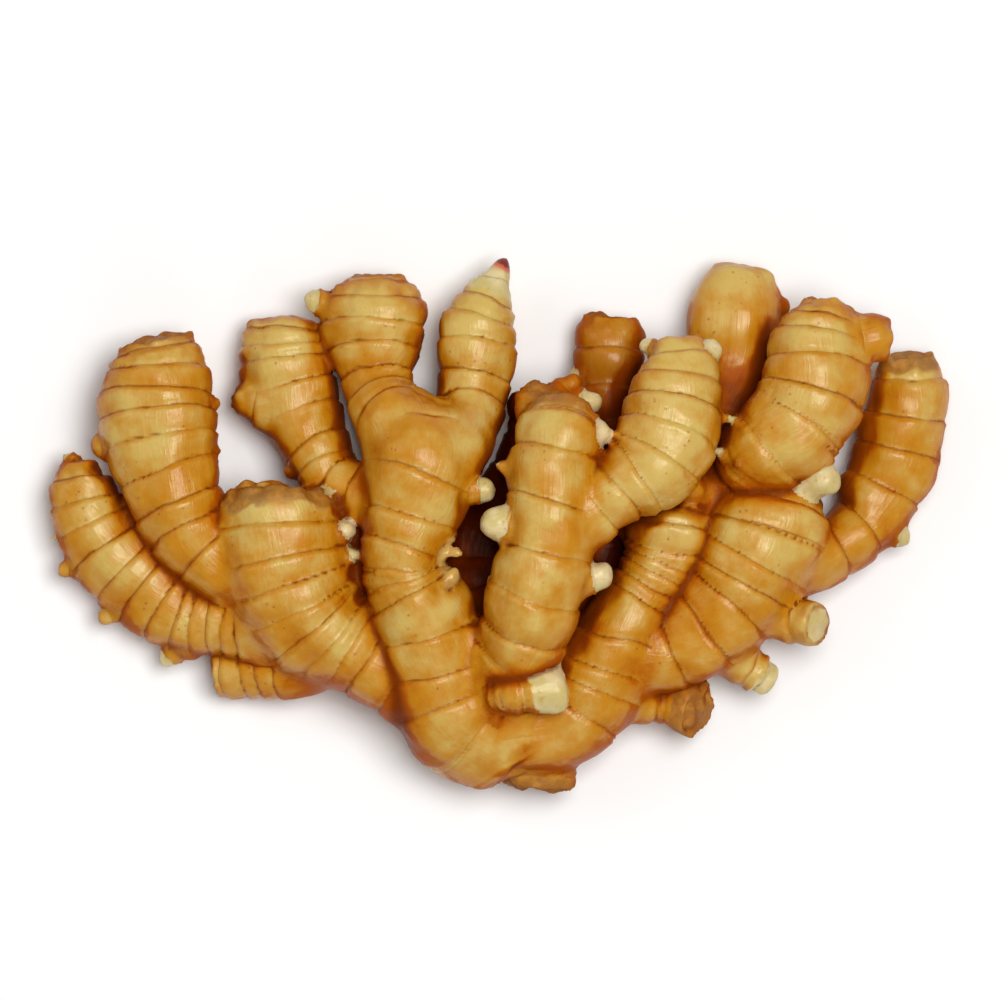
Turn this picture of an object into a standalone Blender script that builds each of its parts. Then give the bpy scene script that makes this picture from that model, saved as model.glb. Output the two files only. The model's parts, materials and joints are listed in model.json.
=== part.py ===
"""Ginger root: one fresh rhizome lying on its back, as dug and washed, in one solid.

Frame: +X runs across the fan of fingers, +Y from the broken foot towards the fingertips and +Z up from
the table. The origin is the middle of the footprint, on the table. Metres.

A rhizome is a tree of stout joints. Each Limb below is one of them: a smooth middle line through a few
stations, each with its width and its height. A limb's first station is moved onto the middle line of
the limb that it grows from, so the joints stay joined when a size is changed. A Bud is a short side
shoot that starts on its limb's middle line too. All of them are lofted, fused into one skin with soft
creases and trimmed flat where the weight rests on the table.
"""

import math
from dataclasses import dataclass

import bmesh
import bpy
from mathutils import Vector

MM = 0.001

# Driving sizes, in metres.
HAND_WIDTH = 0.200  # outermost finger to outermost finger, along X
HAND_REACH = 0.119  # broken foot to the point of the shoot, along Y
HAND_RISE = 0.045  # table to the top of the highest finger, along Z
FINGER_WIDTH = 0.020  # across a typical finger, which all limbs' widths and heights follow
BUD_WIDTH = 0.006  # across a typical bud, which all buds' widths follow
REST_BEDDING = 0.0005  # how deep the lowest skin is pressed flat by the table
SKIN_GRAIN = 0.0013  # size of the cells that the joints are fused with
CREASE_SOFTNESS = 4  # rounds of smoothing in the creases between fingers

# The stations below are drawn in millimetres on a hand of these sizes, and spread to the ones above.
DRAWN_WIDTH, DRAWN_REACH, DRAWN_RISE = 200.0, 119.0, 45.0
DRAWN_FINGER, DRAWN_BUD = 20.0, 6.0

SECTION_SIDES = 18
SECTION_STEP = 2.6  # along a limb, in drawn millimetres
TIP_SECTIONS = 5
BUD_GIRTHS = ((0.0, 1.25), (0.55, 1.15), (0.8, 1.0))  # (share of the way out, share of the bud's width)
BUD_SHOULDER = 0.93  # where the bud's taper is reached
BUD_DOME = 0.4  # length of a bud's rounded point as a share of its last width
SKIN_FACES = 7600  # triangles left after thinning
SKIN_COLOUR = (0.62, 0.36, 0.09, 1.0)
SKIN_ROUGHNESS = 0.42


@dataclass(frozen=True)
class Limb:
    """A joint of the rhizome. Stations are (x, y, z, width, height) in drawn millimetres, root to tip."""

    name: str
    grows_from: str
    stations: tuple
    tip_length: float = 2.0
    bluntness: float = 2.6  # 2 is a round end, more is flatter, 1 is a cone


@dataclass(frozen=True)
class Bud:
    """A side shoot. Its point is (x, y, z), lean is how far back along the limb it starts."""

    grows_from: str
    point: tuple
    width: float
    lean: float = 4.0
    taper: float = 0.72
    bluntness: float = 2.2


LIMBS = (
    Limb("foot", "", (
        (0.0, -34.0, 16.5, 26.0, 28.0),
        (1.5, -42.0, 14.7, 30.0, 28.0),
        (3.0, -50.0, 13.2, 33.0, 27.0),
        (3.5, -54.6, 13.0, 29.0, 22.0),
    ), 1.4, 3.2),
    Limb("foot_scar", "foot", (
        (4.5, -50.0, 13.5, 20.0, 18.0),
        (8.0, -55.0, 13.5, 20.0, 17.0),
        (8.7, -58.0, 13.5, 18.0, 14.0),
    ), 1.4, 3.5),
    Limb("centre_left", "foot", (
        (1.5, -49.0, 15.0, 26.0, 25.0),
        (-6.4, -42.6, 17.0, 28.0, 27.0),
        (-11.3, -32.6, 19.0, 28.0, 27.0),
        (-14.4, -23.6, 21.5, 26.0, 25.5),
        (-17.5, -16.9, 23.5, 22.5, 24.0),
        (-20.2, -9.4, 25.0, 18.7, 22.0),
        (-19.1, -1.3, 26.0, 20.5, 22.5),
        (-17.7, 6.7, 26.0, 23.6, 23.5),
        (-16.6, 15.4, 25.0, 26.3, 24.5),
        (-15.6, 21.3, 23.5, 22.3, 21.5),
        (-13.8, 25.8, 22.0, 15.0, 15.0),
    ), 2.0),
    Limb("left_mother", "foot", (
        (1.4, -48.0, 15.0, 22.0, 23.0),
        (-9.0, -43.4, 15.5, 20.5, 23.0),
        (-20.2, -34.6, 16.5, 19.0, 23.0),
        (-30.4, -28.4, 17.5, 20.5, 24.0),
        (-39.4, -22.8, 18.5, 24.5, 25.0),
        (-44.7, -14.7, 19.5, 28.0, 26.0),
        (-47.0, -5.8, 20.0, 29.0, 26.5),
        (-47.6, 2.0, 19.5, 26.3, 25.0),
        (-47.6, 6.3, 19.0, 21.0, 20.0),
    ), 1.6, 3.0),
    Limb("right_mother", "foot", (
        (8.5, -49.0, 14.5, 25.0, 24.0),
        (14.8, -43.7, 15.5, 24.5, 24.0),
        (20.4, -37.0, 16.5, 22.5, 23.5),
        (25.3, -29.2, 17.5, 20.5, 23.0),
        (29.3, -22.5, 18.5, 19.0, 21.0),
        (34.2, -14.7, 18.5, 16.5, 19.0),
        (38.2, -6.9, 18.0, 16.0, 17.5),
        (40.0, -0.2, 17.5, 16.0, 17.0),
        (42.2, 5.0, 17.0, 14.0, 15.0),
    ), 3.0),
    Limb("centre_front", "centre_left", (
        (-7.0, -38.0, 18.0, 17.0, 17.0),
        (1.0, -33.0, 24.0, 18.0, 18.0),
        (5.6, -27.0, 29.0, 19.5, 19.5),
        (8.4, -18.3, 32.5, 21.0, 21.5),
        (10.6, -10.7, 34.0, 20.8, 21.5),
        (12.2, -3.6, 34.8, 19.0, 20.5),
        (12.6, 3.1, 35.0, 19.3, 20.5),
        (12.6, 10.9, 35.0, 20.0, 20.5),
        (13.8, 17.6, 34.5, 19.2, 19.5),
        (14.8, 23.2, 33.5, 17.0, 17.0),
        (14.8, 28.2, 32.0, 12.0, 12.5),
    ), 2.0),
    Limb("centre_right", "centre_front", (
        (11.0, -6.0, 33.0, 14.0, 16.0),
        (21.5, 2.6, 33.0, 14.6, 17.0),
        (28.0, 7.8, 33.3, 16.0, 18.5),
        (34.4, 12.8, 33.0, 21.0, 20.5),
        (37.9, 19.3, 32.0, 22.4, 21.0),
        (39.8, 26.5, 30.5, 21.6, 20.5),
        (41.0, 34.0, 29.0, 18.7, 18.0),
        (40.8, 39.2, 28.0, 12.5, 12.5),
    ), 2.0),
    Limb("back_middle", "foot", (
        (-2.0, -36.0, 16.0, 17.0, 16.0),
        (-1.5, -22.0, 13.5, 18.0, 16.0),
        (-1.0, -7.0, 11.5, 18.0, 16.5),
        (3.0, 8.0, 10.5, 16.5, 16.5),
        (8.0, 20.5, 11.0, 15.5, 15.5),
        (10.6, 27.8, 11.5, 13.0, 13.0),
    ), 2.5),
    Limb("under_left", "foot", (
        (-2.0, -38.0, 15.0, 15.0, 16.0),
        (-13.0, -30.0, 12.0, 14.5, 15.5),
        (-23.0, -18.0, 10.0, 14.0, 15.0),
        (-28.6, -7.0, 9.4, 13.5, 14.5),
        (-30.6, 1.0, 9.6, 11.5, 12.5),
    ), 2.5),
    Limb("under_right", "foot", (
        (2.0, -40.0, 15.0, 15.0, 16.0),
        (10.0, -31.0, 12.5, 15.0, 16.0),
        (18.5, -20.0, 10.5, 15.0, 15.5),
        (23.4, -8.0, 10.0, 14.0, 15.0),
        (24.6, 0.0, 10.0, 12.0, 13.0),
    ), 2.5),
    Limb("back_centre", "right_mother", (
        (38.0, -7.0, 17.0, 14.0, 14.0),
        (33.0, 2.5, 12.0, 13.0, 13.0),
        (28.5, 13.0, 9.3, 13.0, 13.0),
        (25.2, 24.0, 8.0, 12.8, 13.0),
        (24.2, 31.0, 7.6, 13.2, 13.8),
        (24.9, 37.0, 7.3, 15.4, 15.0),
        (25.1, 41.5, 7.4, 15.2, 14.6),
        (25.2, 44.6, 7.4, 12.0, 11.5),
    ), 1.6, 3.0),
    Limb("right_big", "right_mother", (
        (25.3, -29.2, 16.5, 17.0, 19.0),
        (34.9, -28.6, 16.7, 18.5, 20.0),
        (44.5, -24.1, 17.2, 21.5, 21.5),
        (51.2, -18.1, 17.8, 24.5, 23.5),
        (56.5, -10.3, 18.2, 26.3, 24.5),
        (60.3, -2.5, 18.5, 27.0, 24.5),
        (62.0, 3.7, 17.5, 25.0, 22.0),
        (63.0, 7.6, 16.5, 18.5, 16.5),
    ), 1.8, 2.8),
    Limb("right_outer", "right_big", (
        (57.5, -12.5, 16.5, 15.0, 17.0),
        (69.5, -8.2, 13.5, 15.0, 17.0),
        (77.7, -3.9, 11.0, 14.8, 17.0),
        (82.6, 1.2, 9.5, 15.6, 17.6),
        (86.0, 7.5, 9.0, 17.0, 18.0),
        (88.6, 14.5, 9.0, 17.8, 18.2),
        (90.4, 22.4, 9.2, 17.6, 18.0),
        (91.7, 31.0, 10.0, 15.6, 16.0),
        (91.6, 36.6, 10.7, 11.0, 11.0),
    ), 1.5, 3.0),
    Limb("right_tall", "right_mother", (
        (42.0, 4.0, 17.0, 13.0, 14.0),
        (48.8, 7.1, 20.0, 14.8, 16.0),
        (56.1, 11.3, 23.0, 19.0, 19.0),
        (62.8, 17.3, 24.7, 21.8, 21.0),
        (67.7, 23.4, 25.0, 22.3, 21.5),
        (70.8, 30.8, 24.5, 22.5, 21.5),
        (72.2, 38.6, 23.5, 21.4, 20.0),
        (73.4, 44.6, 22.5, 17.0, 17.0),
        (74.0, 47.6, 22.0, 10.5, 11.0),
    ), 1.5),
    Limb("back_right", "right_mother", (
        (42.0, 4.0, 16.0, 12.0, 13.0),
        (48.5, 16.0, 12.0, 14.0, 14.0),
        (51.6, 27.0, 9.8, 17.0, 16.0),
        (52.3, 36.0, 9.2, 20.0, 18.0),
        (52.7, 43.3, 9.1, 21.5, 18.4),
        (53.6, 50.0, 9.2, 19.8, 17.0),
        (54.3, 54.8, 9.2, 14.0, 12.5),
    ), 1.6, 3.2),
    Limb("shoot", "centre_left", (
        (-16.5, 10.0, 23.0, 13.0, 13.0),
        (-8.3, 15.5, 19.0, 14.0, 14.0),
        (-6.0, 23.0, 16.0, 14.3, 14.3),
        (-6.2, 30.0, 14.3, 15.3, 15.3),
        (-5.2, 36.6, 13.2, 17.0, 16.5),
        (-4.6, 42.0, 12.5, 17.0, 16.5),
        (-4.0, 48.4, 12.0, 15.3, 14.5),
        (-2.0, 53.0, 12.0, 9.8, 9.8),
        (-0.6, 56.4, 12.0, 5.8, 5.8),
    ), 2.8, 1.3),
    Limb("upper_centre", "centre_left", (
        (-17.0, 15.0, 23.0, 15.0, 16.0),
        (-22.6, 22.6, 19.0, 15.6, 15.5),
        (-26.2, 30.0, 16.0, 15.6, 15.5),
        (-27.0, 38.8, 14.0, 20.0, 19.0),
        (-27.6, 46.2, 12.8, 23.2, 21.0),
        (-26.8, 51.2, 12.5, 18.0, 17.0),
        (-26.2, 53.8, 12.5, 12.0, 12.0),
    ), 1.3, 2.8),
    Limb("upper_left", "centre_left", (
        (-18.5, 3.0, 24.0, 13.0, 14.0),
        (-29.0, 5.0, 18.5, 14.0, 15.0),
        (-37.6, 8.9, 14.5, 14.0, 14.5),
        (-40.5, 15.3, 12.0, 15.6, 15.5),
        (-42.9, 22.7, 10.0, 17.2, 16.5),
        (-46.0, 31.0, 8.8, 19.6, 18.0),
        (-47.6, 38.6, 8.7, 18.9, 17.4),
        (-48.3, 43.3, 8.7, 14.5, 13.5),
    ), 2.4, 2.8),
    Limb("left_tall", "left_mother", (
        (-48.0, -12.0, 18.5, 16.0, 18.0),
        (-58.0, -10.2, 18.0, 16.0, 18.0),
        (-65.8, -4.7, 17.5, 17.5, 19.0),
        (-70.6, 3.8, 17.0, 20.5, 21.0),
        (-72.7, 10.9, 16.5, 22.2, 22.0),
        (-74.4, 17.2, 16.0, 24.5, 22.5),
        (-75.5, 26.5, 15.0, 25.8, 23.0),
        (-75.6, 33.9, 14.5, 23.3, 21.0),
        (-76.0, 39.4, 14.5, 16.8, 16.0),
    ), 1.6, 3.2),
    Limb("left_outer", "left_mother", (
        (-42.0, -20.0, 16.0, 15.0, 17.0),
        (-50.0, -22.8, 14.0, 15.5, 17.0),
        (-60.0, -21.0, 11.5, 16.5, 17.5),
        (-68.8, -18.5, 9.8, 18.8, 18.2),
        (-77.7, -13.6, 9.1, 19.7, 18.8),
        (-86.2, -5.8, 9.0, 19.2, 18.6),
        (-91.5, 3.1, 9.3, 16.8, 16.8),
        (-93.2, 10.6, 9.6, 12.4, 12.4),
    ), 2.4),
    Limb("low_left", "left_mother", (
        (-33.0, -29.0, 14.0, 15.0, 17.0),
        (-42.0, -31.8, 10.0, 13.2, 15.0),
        (-51.0, -32.8, 7.6, 12.8, 14.0),
        (-62.2, -32.5, 6.4, 12.8, 13.0),
    ), 1.8, 3.0),
    Limb("knob_right", "right_big", (
        (54.0, -14.0, 18.0, 12.0, 13.0),
        (63.5, -20.2, 17.0, 9.8, 10.0),
        (73.0, -21.8, 16.0, 9.0, 9.0),
    ), 1.6, 2.8),
    Limb("knob_low_right", "right_big", (
        (45.0, -23.5, 16.5, 14.0, 15.0),
        (54.0, -30.0, 13.5, 9.8, 10.0),
        (60.6, -34.6, 12.0, 6.4, 6.4),
    ), 1.4),
    Limb("knob_bottom", "right_mother", (
        (20.4, -37.0, 16.5, 12.0, 13.0),
        (31.5, -39.2, 12.5, 10.8, 11.5),
        (38.0, -38.8, 10.5, 11.0, 11.5),
        (45.6, -40.1, 9.5, 11.8, 12.0),
    ), 1.3, 3.4),
    Limb("knob_centre", "foot", (
        (-3.0, -37.6, 22.0, 10.0, 11.0),
        (2.0, -37.6, 27.5, 10.0, 9.5),
        (8.0, -37.3, 29.0, 9.8, 9.5),
        (14.6, -36.9, 29.5, 8.2, 8.0),
    ), 2.2, 2.6),
)

BUDS = (
    Bud("upper_centre", (-42.4, 50.0, 14.5), 5.6, 5.0, 0.85),
    Bud("upper_centre", (-15.8, 39.8, 14.0), 2.6),
    Bud("centre_right", (34.6, 41.8, 27.5), 4.2, 6.0),
    Bud("centre_right", (49.0, 38.3, 30.0), 4.8, 4.0, 0.95, 4.0),
    Bud("centre_right", (53.6, 23.2, 28.5), 5.2, 2.0, 0.45),
    Bud("right_big", (74.0, 10.4, 20.5), 6.4, 8.0, 0.8),
    Bud("centre_front", (25.3, 23.6, 35.5), 6.4, 7.0, 0.9, 3.0),
    Bud("centre_front", (26.8, -11.0, 34.5), 7.2, 9.0, 0.9),
    Bud("centre_front", (-2.4, 1.2, 37.5), 8.0, 3.0, 0.95, 3.6),
    Bud("centre_front", (-1.2, -12.2, 33.0), 3.6, 3.0),
    Bud("centre_front", (1.4, 11.4, 34.0), 3.0, 2.0, 0.4),
    Bud("centre_left", (0.0, 7.6, 29.0), 5.4, 4.0, 0.9),
    Bud("centre_left", (-8.4, -8.8, 28.0), 5.2, 5.0, 0.8),
    Bud("left_mother", (-30.9, -0.4, 25.0), 6.2, 6.0, 0.85),
    Bud("left_mother", (-36.0, 7.4, 22.5), 5.8, 6.0, 0.85),
    Bud("left_mother", (-31.2, -10.8, 27.0), 3.8),
    Bud("left_mother", (-31.0, -15.0, 27.0), 3.8),
    Bud("left_mother", (-56.4, 6.0, 19.0), 8.0, 6.0, 0.85),
    Bud("left_tall", (-61.0, 27.2, 15.5), 3.2),
    Bud("left_tall", (-60.6, 16.6, 17.0), 3.6),
    Bud("left_tall", (-89.3, 18.8, 13.0), 8.4, 7.0, 0.8),
    Bud("left_outer", (-96.6, -10.4, 9.0), 8.0, 5.0, 0.5),
    Bud("left_outer", (-88.0, -20.4, 8.5), 9.0, 6.0, 0.5),
    Bud("left_outer", (-73.4, -30.8, 7.5), 8.8, 5.0, 0.55),
    Bud("left_outer", (-99.4, 5.6, 9.0), 5.0, 3.0),
    Bud("upper_left", (-57.8, 28.8, 10.0), 10.5, 3.0, 0.42),
    Bud("upper_left", (-46.6, 11.4, 11.5), 6.4, 2.0),
    Bud("right_outer", (99.6, 15.2, 9.5), 8.0, 4.0),
    Bud("right_outer", (93.0, -3.4, 9.5), 6.0, 4.0, 0.9, 3.0),
    Bud("right_tall", (87.2, 42.2, 20.5), 8.0, 4.0, 0.85, 2.6),
    Bud("right_tall", (75.4, 12.2, 21.0), 4.2, 2.0, 0.5),
    Bud("back_right", (65.0, 49.2, 9.5), 9.0, 4.0),
    Bud("back_centre", (16.2, 33.0, 9.0), 7.0, 2.0, 0.9),
    Bud("knob_centre", (14.4, -30.4, 30.0), 4.2, 6.0, 0.9),
)


def clear_scene():
    """Removes whatever the file opened with."""
    for obj in list(bpy.data.objects):
        bpy.data.objects.remove(obj)


def spread(station):
    """A station in metres, spread from the drawn hand to the driving sizes."""
    x, y, z, width, height = station
    return (
        x / DRAWN_WIDTH * HAND_WIDTH,
        y / DRAWN_REACH * HAND_REACH,
        z / DRAWN_RISE * HAND_RISE,
        width / DRAWN_FINGER * FINGER_WIDTH,
        height / DRAWN_FINGER * FINGER_WIDTH,
    )


def smooth_line(stations, step):
    """Places about step apart on a smooth curve through the stations, each with width and height."""
    places = []
    for i in range(len(stations) - 1):
        before = stations[max(i - 1, 0)]
        start, end = stations[i], stations[i + 1]
        after = stations[min(i + 2, len(stations) - 1)]
        pieces = max(2, round(math.dist(start[:3], end[:3]) / step))
        for j in range(pieces):
            t = j / pieces
            places.append(tuple(
                0.5 * (2 * b + (c - a) * t + (2 * a - 5 * b + 4 * c - d) * t**2
                       + (3 * b - a - 3 * c + d) * t**3)
                for a, b, c, d in zip(before, start, end, after)
            ))
    places.append(stations[-1])
    return places


def nearest(line, point):
    """Index of the place on the line that is nearest to the point."""
    return min(range(len(line)), key=lambda i: math.dist(line[i][:3], point[:3]))


def limb_line(limb, lines):
    """The limb's places. Its first station is moved onto the middle line that it grows from."""
    stations = [spread(s) for s in limb.stations]
    if limb.grows_from:
        parent = lines[limb.grows_from]
        root = parent[nearest(parent, stations[0])]
        stations[0] = (*root[:3], *stations[0][3:])
    return smooth_line(stations, SECTION_STEP * MM)


def bud_line(bud, lines):
    """The bud's places, from its limb's middle line out to its point."""
    parent = lines[bud.grows_from]
    point = Vector(spread((*bud.point, 0.0, 0.0))[:3])
    start = parent[max(0, nearest(parent, point) - round(bud.lean / SECTION_STEP))]
    root = Vector(start[:3])
    swell = start[3] / 2 * (1 - DRAWN_FINGER * MM / FINGER_WIDTH)
    reach = (point - root) + (point - root).normalized() * swell
    width = bud.width / DRAWN_BUD * BUD_WIDTH
    girths = (*BUD_GIRTHS, (BUD_SHOULDER, bud.taper))
    stations = [(*(root + reach * along), width * girth, width * girth) for along, girth in girths]
    return smooth_line(stations, SECTION_STEP * MM / 2)


def rounded_end(line, length, bluntness):
    """Places that close a line with a rounded end of this length."""
    last, previous = Vector(line[-1][:3]), Vector(line[-2][:3])
    heading = (last - previous).normalized()
    ends = []
    for i in range(1, TIP_SECTIONS):
        along = i / TIP_SECTIONS
        girth = (1 - along**bluntness) ** (1 / bluntness)
        ends.append((*(last + heading * length * along), line[-1][3] * girth, line[-1][4] * girth))
    return ends, last + heading * length


def add_loft(skin, line, point):
    """Lofts elliptical sections along the line into the mesh, closed at the root and at the point."""
    rings = []
    for i, place in enumerate(line):
        ahead = Vector(line[min(i + 1, len(line) - 1)][:3])
        behind = Vector(line[max(i - 1, 0)][:3])
        heading = (ahead - behind).normalized()
        across = heading.cross(Vector((0, 0, 1))).normalized()
        upward = across.cross(heading)
        ring = []
        for j in range(SECTION_SIDES):
            angle = math.tau * j / SECTION_SIDES
            offset = across * math.cos(angle) * place[3] / 2 + upward * math.sin(angle) * place[4] / 2
            ring.append(skin.verts.new(Vector(place[:3]) + offset))
        rings.append(ring)
    for ring, following in zip(rings, rings[1:]):
        for j in range(SECTION_SIDES):
            k = (j + 1) % SECTION_SIDES
            skin.faces.new((ring[j], ring[k], following[k], following[j]))
    tip = skin.verts.new(point)
    for j in range(SECTION_SIDES):
        skin.faces.new((rings[-1][j], rings[-1][(j + 1) % SECTION_SIDES], tip))
    skin.faces.new(list(reversed(rings[0])))


def loft_all():
    """One mesh that holds every limb and bud as its own closed loft."""
    skin = bmesh.new()
    lines = {}
    for limb in LIMBS:
        lines[limb.name] = limb_line(limb, lines)
        ends, point = rounded_end(lines[limb.name], limb.tip_length * MM, limb.bluntness)
        add_loft(skin, lines[limb.name] + ends, point)
    for bud in BUDS:
        line = bud_line(bud, lines)
        ends, point = rounded_end(line, line[-1][3] * BUD_DOME, bud.bluntness)
        add_loft(skin, line + ends, point)
    bmesh.ops.recalc_face_normals(skin, faces=skin.faces)
    mesh = bpy.data.meshes.new("ginger_root")
    skin.to_mesh(mesh)
    skin.free()
    return mesh


def skin_material():
    """Thin golden skin with a waxy shine."""
    material = bpy.data.materials.new("ginger_skin")
    material.use_nodes = True
    shader = material.node_tree.nodes["Principled BSDF"]
    shader.inputs["Base Color"].default_value = SKIN_COLOUR
    shader.inputs["Roughness"].default_value = SKIN_ROUGHNESS
    shader.inputs["Metallic"].default_value = 0.0
    return material


def fuse(obj):
    """Fuses the lofts into one closed skin, softens its creases and thins its triangles."""
    remesh = obj.modifiers.new("Fuse joints", "REMESH")
    remesh.mode = "VOXEL"
    remesh.voxel_size = SKIN_GRAIN
    soften = obj.modifiers.new("Soften creases", "SMOOTH")
    soften.factor = 0.5
    soften.iterations = CREASE_SOFTNESS
    full = evaluated_mesh(obj)
    full.calc_loop_triangles()
    thin = obj.modifiers.new("Thin triangles", "DECIMATE")
    thin.ratio = min(1.0, SKIN_FACES / len(full.loop_triangles))
    thin.use_collapse_triangulate = True
    bpy.data.meshes.remove(full)


def evaluated_mesh(obj):
    """A copy of the object's mesh with its modifiers applied."""
    bpy.context.view_layer.update()
    graph = bpy.context.evaluated_depsgraph_get()
    return bpy.data.meshes.new_from_object(obj.evaluated_get(graph))


def trim_resting_faces(obj):
    """Cuts the skin flat on the table plane, where the lowest joints bear the weight."""
    bm = bmesh.new()
    bm.from_mesh(obj.data)
    lowest = min(v.co.z for v in bm.verts)
    cut = bmesh.ops.bisect_plane(
        bm, geom=bm.verts[:] + bm.edges[:] + bm.faces[:],
        plane_co=(0, 0, lowest + REST_BEDDING), plane_no=(0, 0, 1), clear_inner=True,
    )
    rims = [e for e in cut["geom_cut"] if isinstance(e, bmesh.types.BMEdge)]
    bmesh.ops.edgenet_fill(bm, edges=rims)
    bmesh.ops.recalc_face_normals(bm, faces=bm.faces)
    bm.to_mesh(obj.data)
    bm.free()


def centre_on_table(mesh):
    """Moves the mesh so that the origin is the middle of its footprint, on the table."""
    low = Vector(min(v.co[i] for v in mesh.vertices) for i in range(3))
    high = Vector(max(v.co[i] for v in mesh.vertices) for i in range(3))
    shift = Vector((-(low.x + high.x) / 2, -(low.y + high.y) / 2, -low.z))
    for vertex in mesh.vertices:
        vertex.co += shift


def ginger_root():
    """The whole rhizome as one object."""
    obj = bpy.data.objects.new("ginger_root", loft_all())
    bpy.context.scene.collection.objects.link(obj)
    fuse(obj)
    obj.data = evaluated_mesh(obj)
    obj.modifiers.clear()
    obj.data.name = "ginger_root"
    trim_resting_faces(obj)
    centre_on_table(obj.data)
    obj.data.materials.clear()
    obj.data.materials.append(skin_material())
    obj.data.shade_smooth()
    return obj


clear_scene()
ginger_root()
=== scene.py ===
"""Ginger root: the visual model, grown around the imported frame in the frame's own metres.

The rhizome is one living piece. Its limbs and buds are lofted as closed shapes along their middle
lines, fused into a single skin and softened where one grew out of another. The skin is then measured
against every limb, so that each point knows its place along a limb and round it. The rings, the scars
and the pale buds follow from that place, in the mesh and in the finish.
"""

import json
import logging
import math
from dataclasses import dataclass, field
from enum import Enum

import bmesh
import bpy
import numpy as np
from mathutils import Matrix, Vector, noise
from mathutils.bvhtree import BVHTree

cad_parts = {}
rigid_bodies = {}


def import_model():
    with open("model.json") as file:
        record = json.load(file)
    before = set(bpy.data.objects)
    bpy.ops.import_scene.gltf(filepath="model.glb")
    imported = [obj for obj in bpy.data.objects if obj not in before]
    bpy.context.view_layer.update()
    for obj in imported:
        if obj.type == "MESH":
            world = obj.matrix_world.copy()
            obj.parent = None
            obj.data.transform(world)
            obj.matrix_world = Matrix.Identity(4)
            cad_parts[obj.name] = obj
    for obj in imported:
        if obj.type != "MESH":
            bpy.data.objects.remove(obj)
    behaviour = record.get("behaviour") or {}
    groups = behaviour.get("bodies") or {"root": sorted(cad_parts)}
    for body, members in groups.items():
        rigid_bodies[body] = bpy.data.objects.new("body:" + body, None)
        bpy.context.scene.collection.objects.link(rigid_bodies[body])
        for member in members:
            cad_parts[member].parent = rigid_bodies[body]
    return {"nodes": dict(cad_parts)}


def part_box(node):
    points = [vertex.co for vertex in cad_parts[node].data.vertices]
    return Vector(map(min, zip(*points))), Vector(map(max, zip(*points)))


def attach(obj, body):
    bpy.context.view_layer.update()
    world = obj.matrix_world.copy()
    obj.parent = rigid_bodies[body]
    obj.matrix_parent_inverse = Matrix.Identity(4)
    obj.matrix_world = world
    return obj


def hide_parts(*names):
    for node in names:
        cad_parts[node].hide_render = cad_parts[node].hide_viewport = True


LOG = logging.getLogger("ginger")

MM = 0.001
NODE = "ginger_root"
PIECE = "ginger_skin"
BODY = "root"

# All in millimetres.
FULL_GRAIN = 0.75  # size of the cells that fuse the stems
FAR = 99.0  # stands for the distance to a stem that isn't near
PAST_ENDS = 9.0  # length of the internodes before the first ring and after the last
LEAST_INTERNODE = 0.8

# Waves that make a growth ring stray: how many go round the stem, and their height in millimetres.
RING_STRAYS = ((1, 0.30), (2, 0.26), (4, 0.16), (7, 0.07))
# Swells of a section: share of its half size, how many go round, and millimetres along for one radian.
SWELLS = ((0.018, 2, 7.0), (0.014, 3, -5.0), (0.010, 5, 6.0))
BEND_SWELL, BEND_LENGTH = 0.012, 3.4
# A rounded end's sections, as shares of its length.
END_SECTIONS = (0.2, 0.4, 0.6, 0.75, 0.87, 0.95, 0.99)
# A bud's girth from its root on: share of its length, share of its width.
BUD_GIRTHS = ((0.0, 1.25), (0.6, 1.12), (0.85, 1.0))


class Tip(Enum):
    """How a limb or a bud ends."""

    SCAR = "brown hollow scar of an old shoot"
    WORN = "rounded end, a little browned"
    FRESH = "pale growing end"
    SHOOT = "pointed shoot with a pink tip"
    CUT = "flat end with a brown rim"
    GOLD = "glossy golden nub"
    PLAIN = "plain skin"


@dataclass(frozen=True)
class Limb:
    """A joint of the rhizome.

    Attributes:
        name: what the joint is called.
        grows_from: the limb that it grows from, or nothing for the foot.
        stations: (x, y, z, width, height) from root to tip, in millimetres.
        tip_length: how far the rounded end reaches past the last station, in millimetres.
        bluntness: 2 is a round end, more is flatter, 1 is a cone.
        tip: how it ends.
        tip_reach: how far back from the end that finish reaches, in millimetres.
        rings: places of the growth rings, in millimetres back from the tip, with their slant.
        bow: how far the rings lead on the upper side, in millimetres.
        warmth: 0 is pale straw, 1 is deep orange.
        root_warmth: how much warmer it is at its root than at its tip.
        shade: painted shade, 1 is as bright as the rest and less paints the limb darker.
        joint: 1 where its root flows into its parent, 0 where it only leans on it.
    """

    name: str
    grows_from: str
    stations: tuple[tuple[float, ...], ...]
    tip_length: float = 2.0
    bluntness: float = 2.6
    tip: Tip = Tip.SCAR
    tip_reach: float = 4.0
    rings: tuple[tuple[float, float], ...] = ()
    bow: float = 0.6
    warmth: float = 0.35
    root_warmth: float = 0.35
    shade: float = 1.0
    joint: float = 1.0


@dataclass(frozen=True)
class Bud:
    """A side shoot that starts on its limb's middle line.

    Attributes:
        grows_from: the limb that it grows from.
        point: (x, y, z) of its point, in millimetres.
        width: its width, in millimetres.
        lean: how far back along the limb it starts, in millimetres.
        taper: its last width as a share of its width.
        bluntness: 2 is a round end, more is flatter, 1 is a cone.
        tip: how it ends.
        tip_reach: how far back from the point that finish reaches, in millimetres.
    """

    grows_from: str
    point: tuple[float, float, float]
    width: float
    lean: float = 4.0
    taper: float = 0.72
    bluntness: float = 2.2
    tip: Tip = Tip.FRESH
    tip_reach: float = 3.0


# A limb's shade is painted shade: limbs that lie low or behind others are painted darker.
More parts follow.
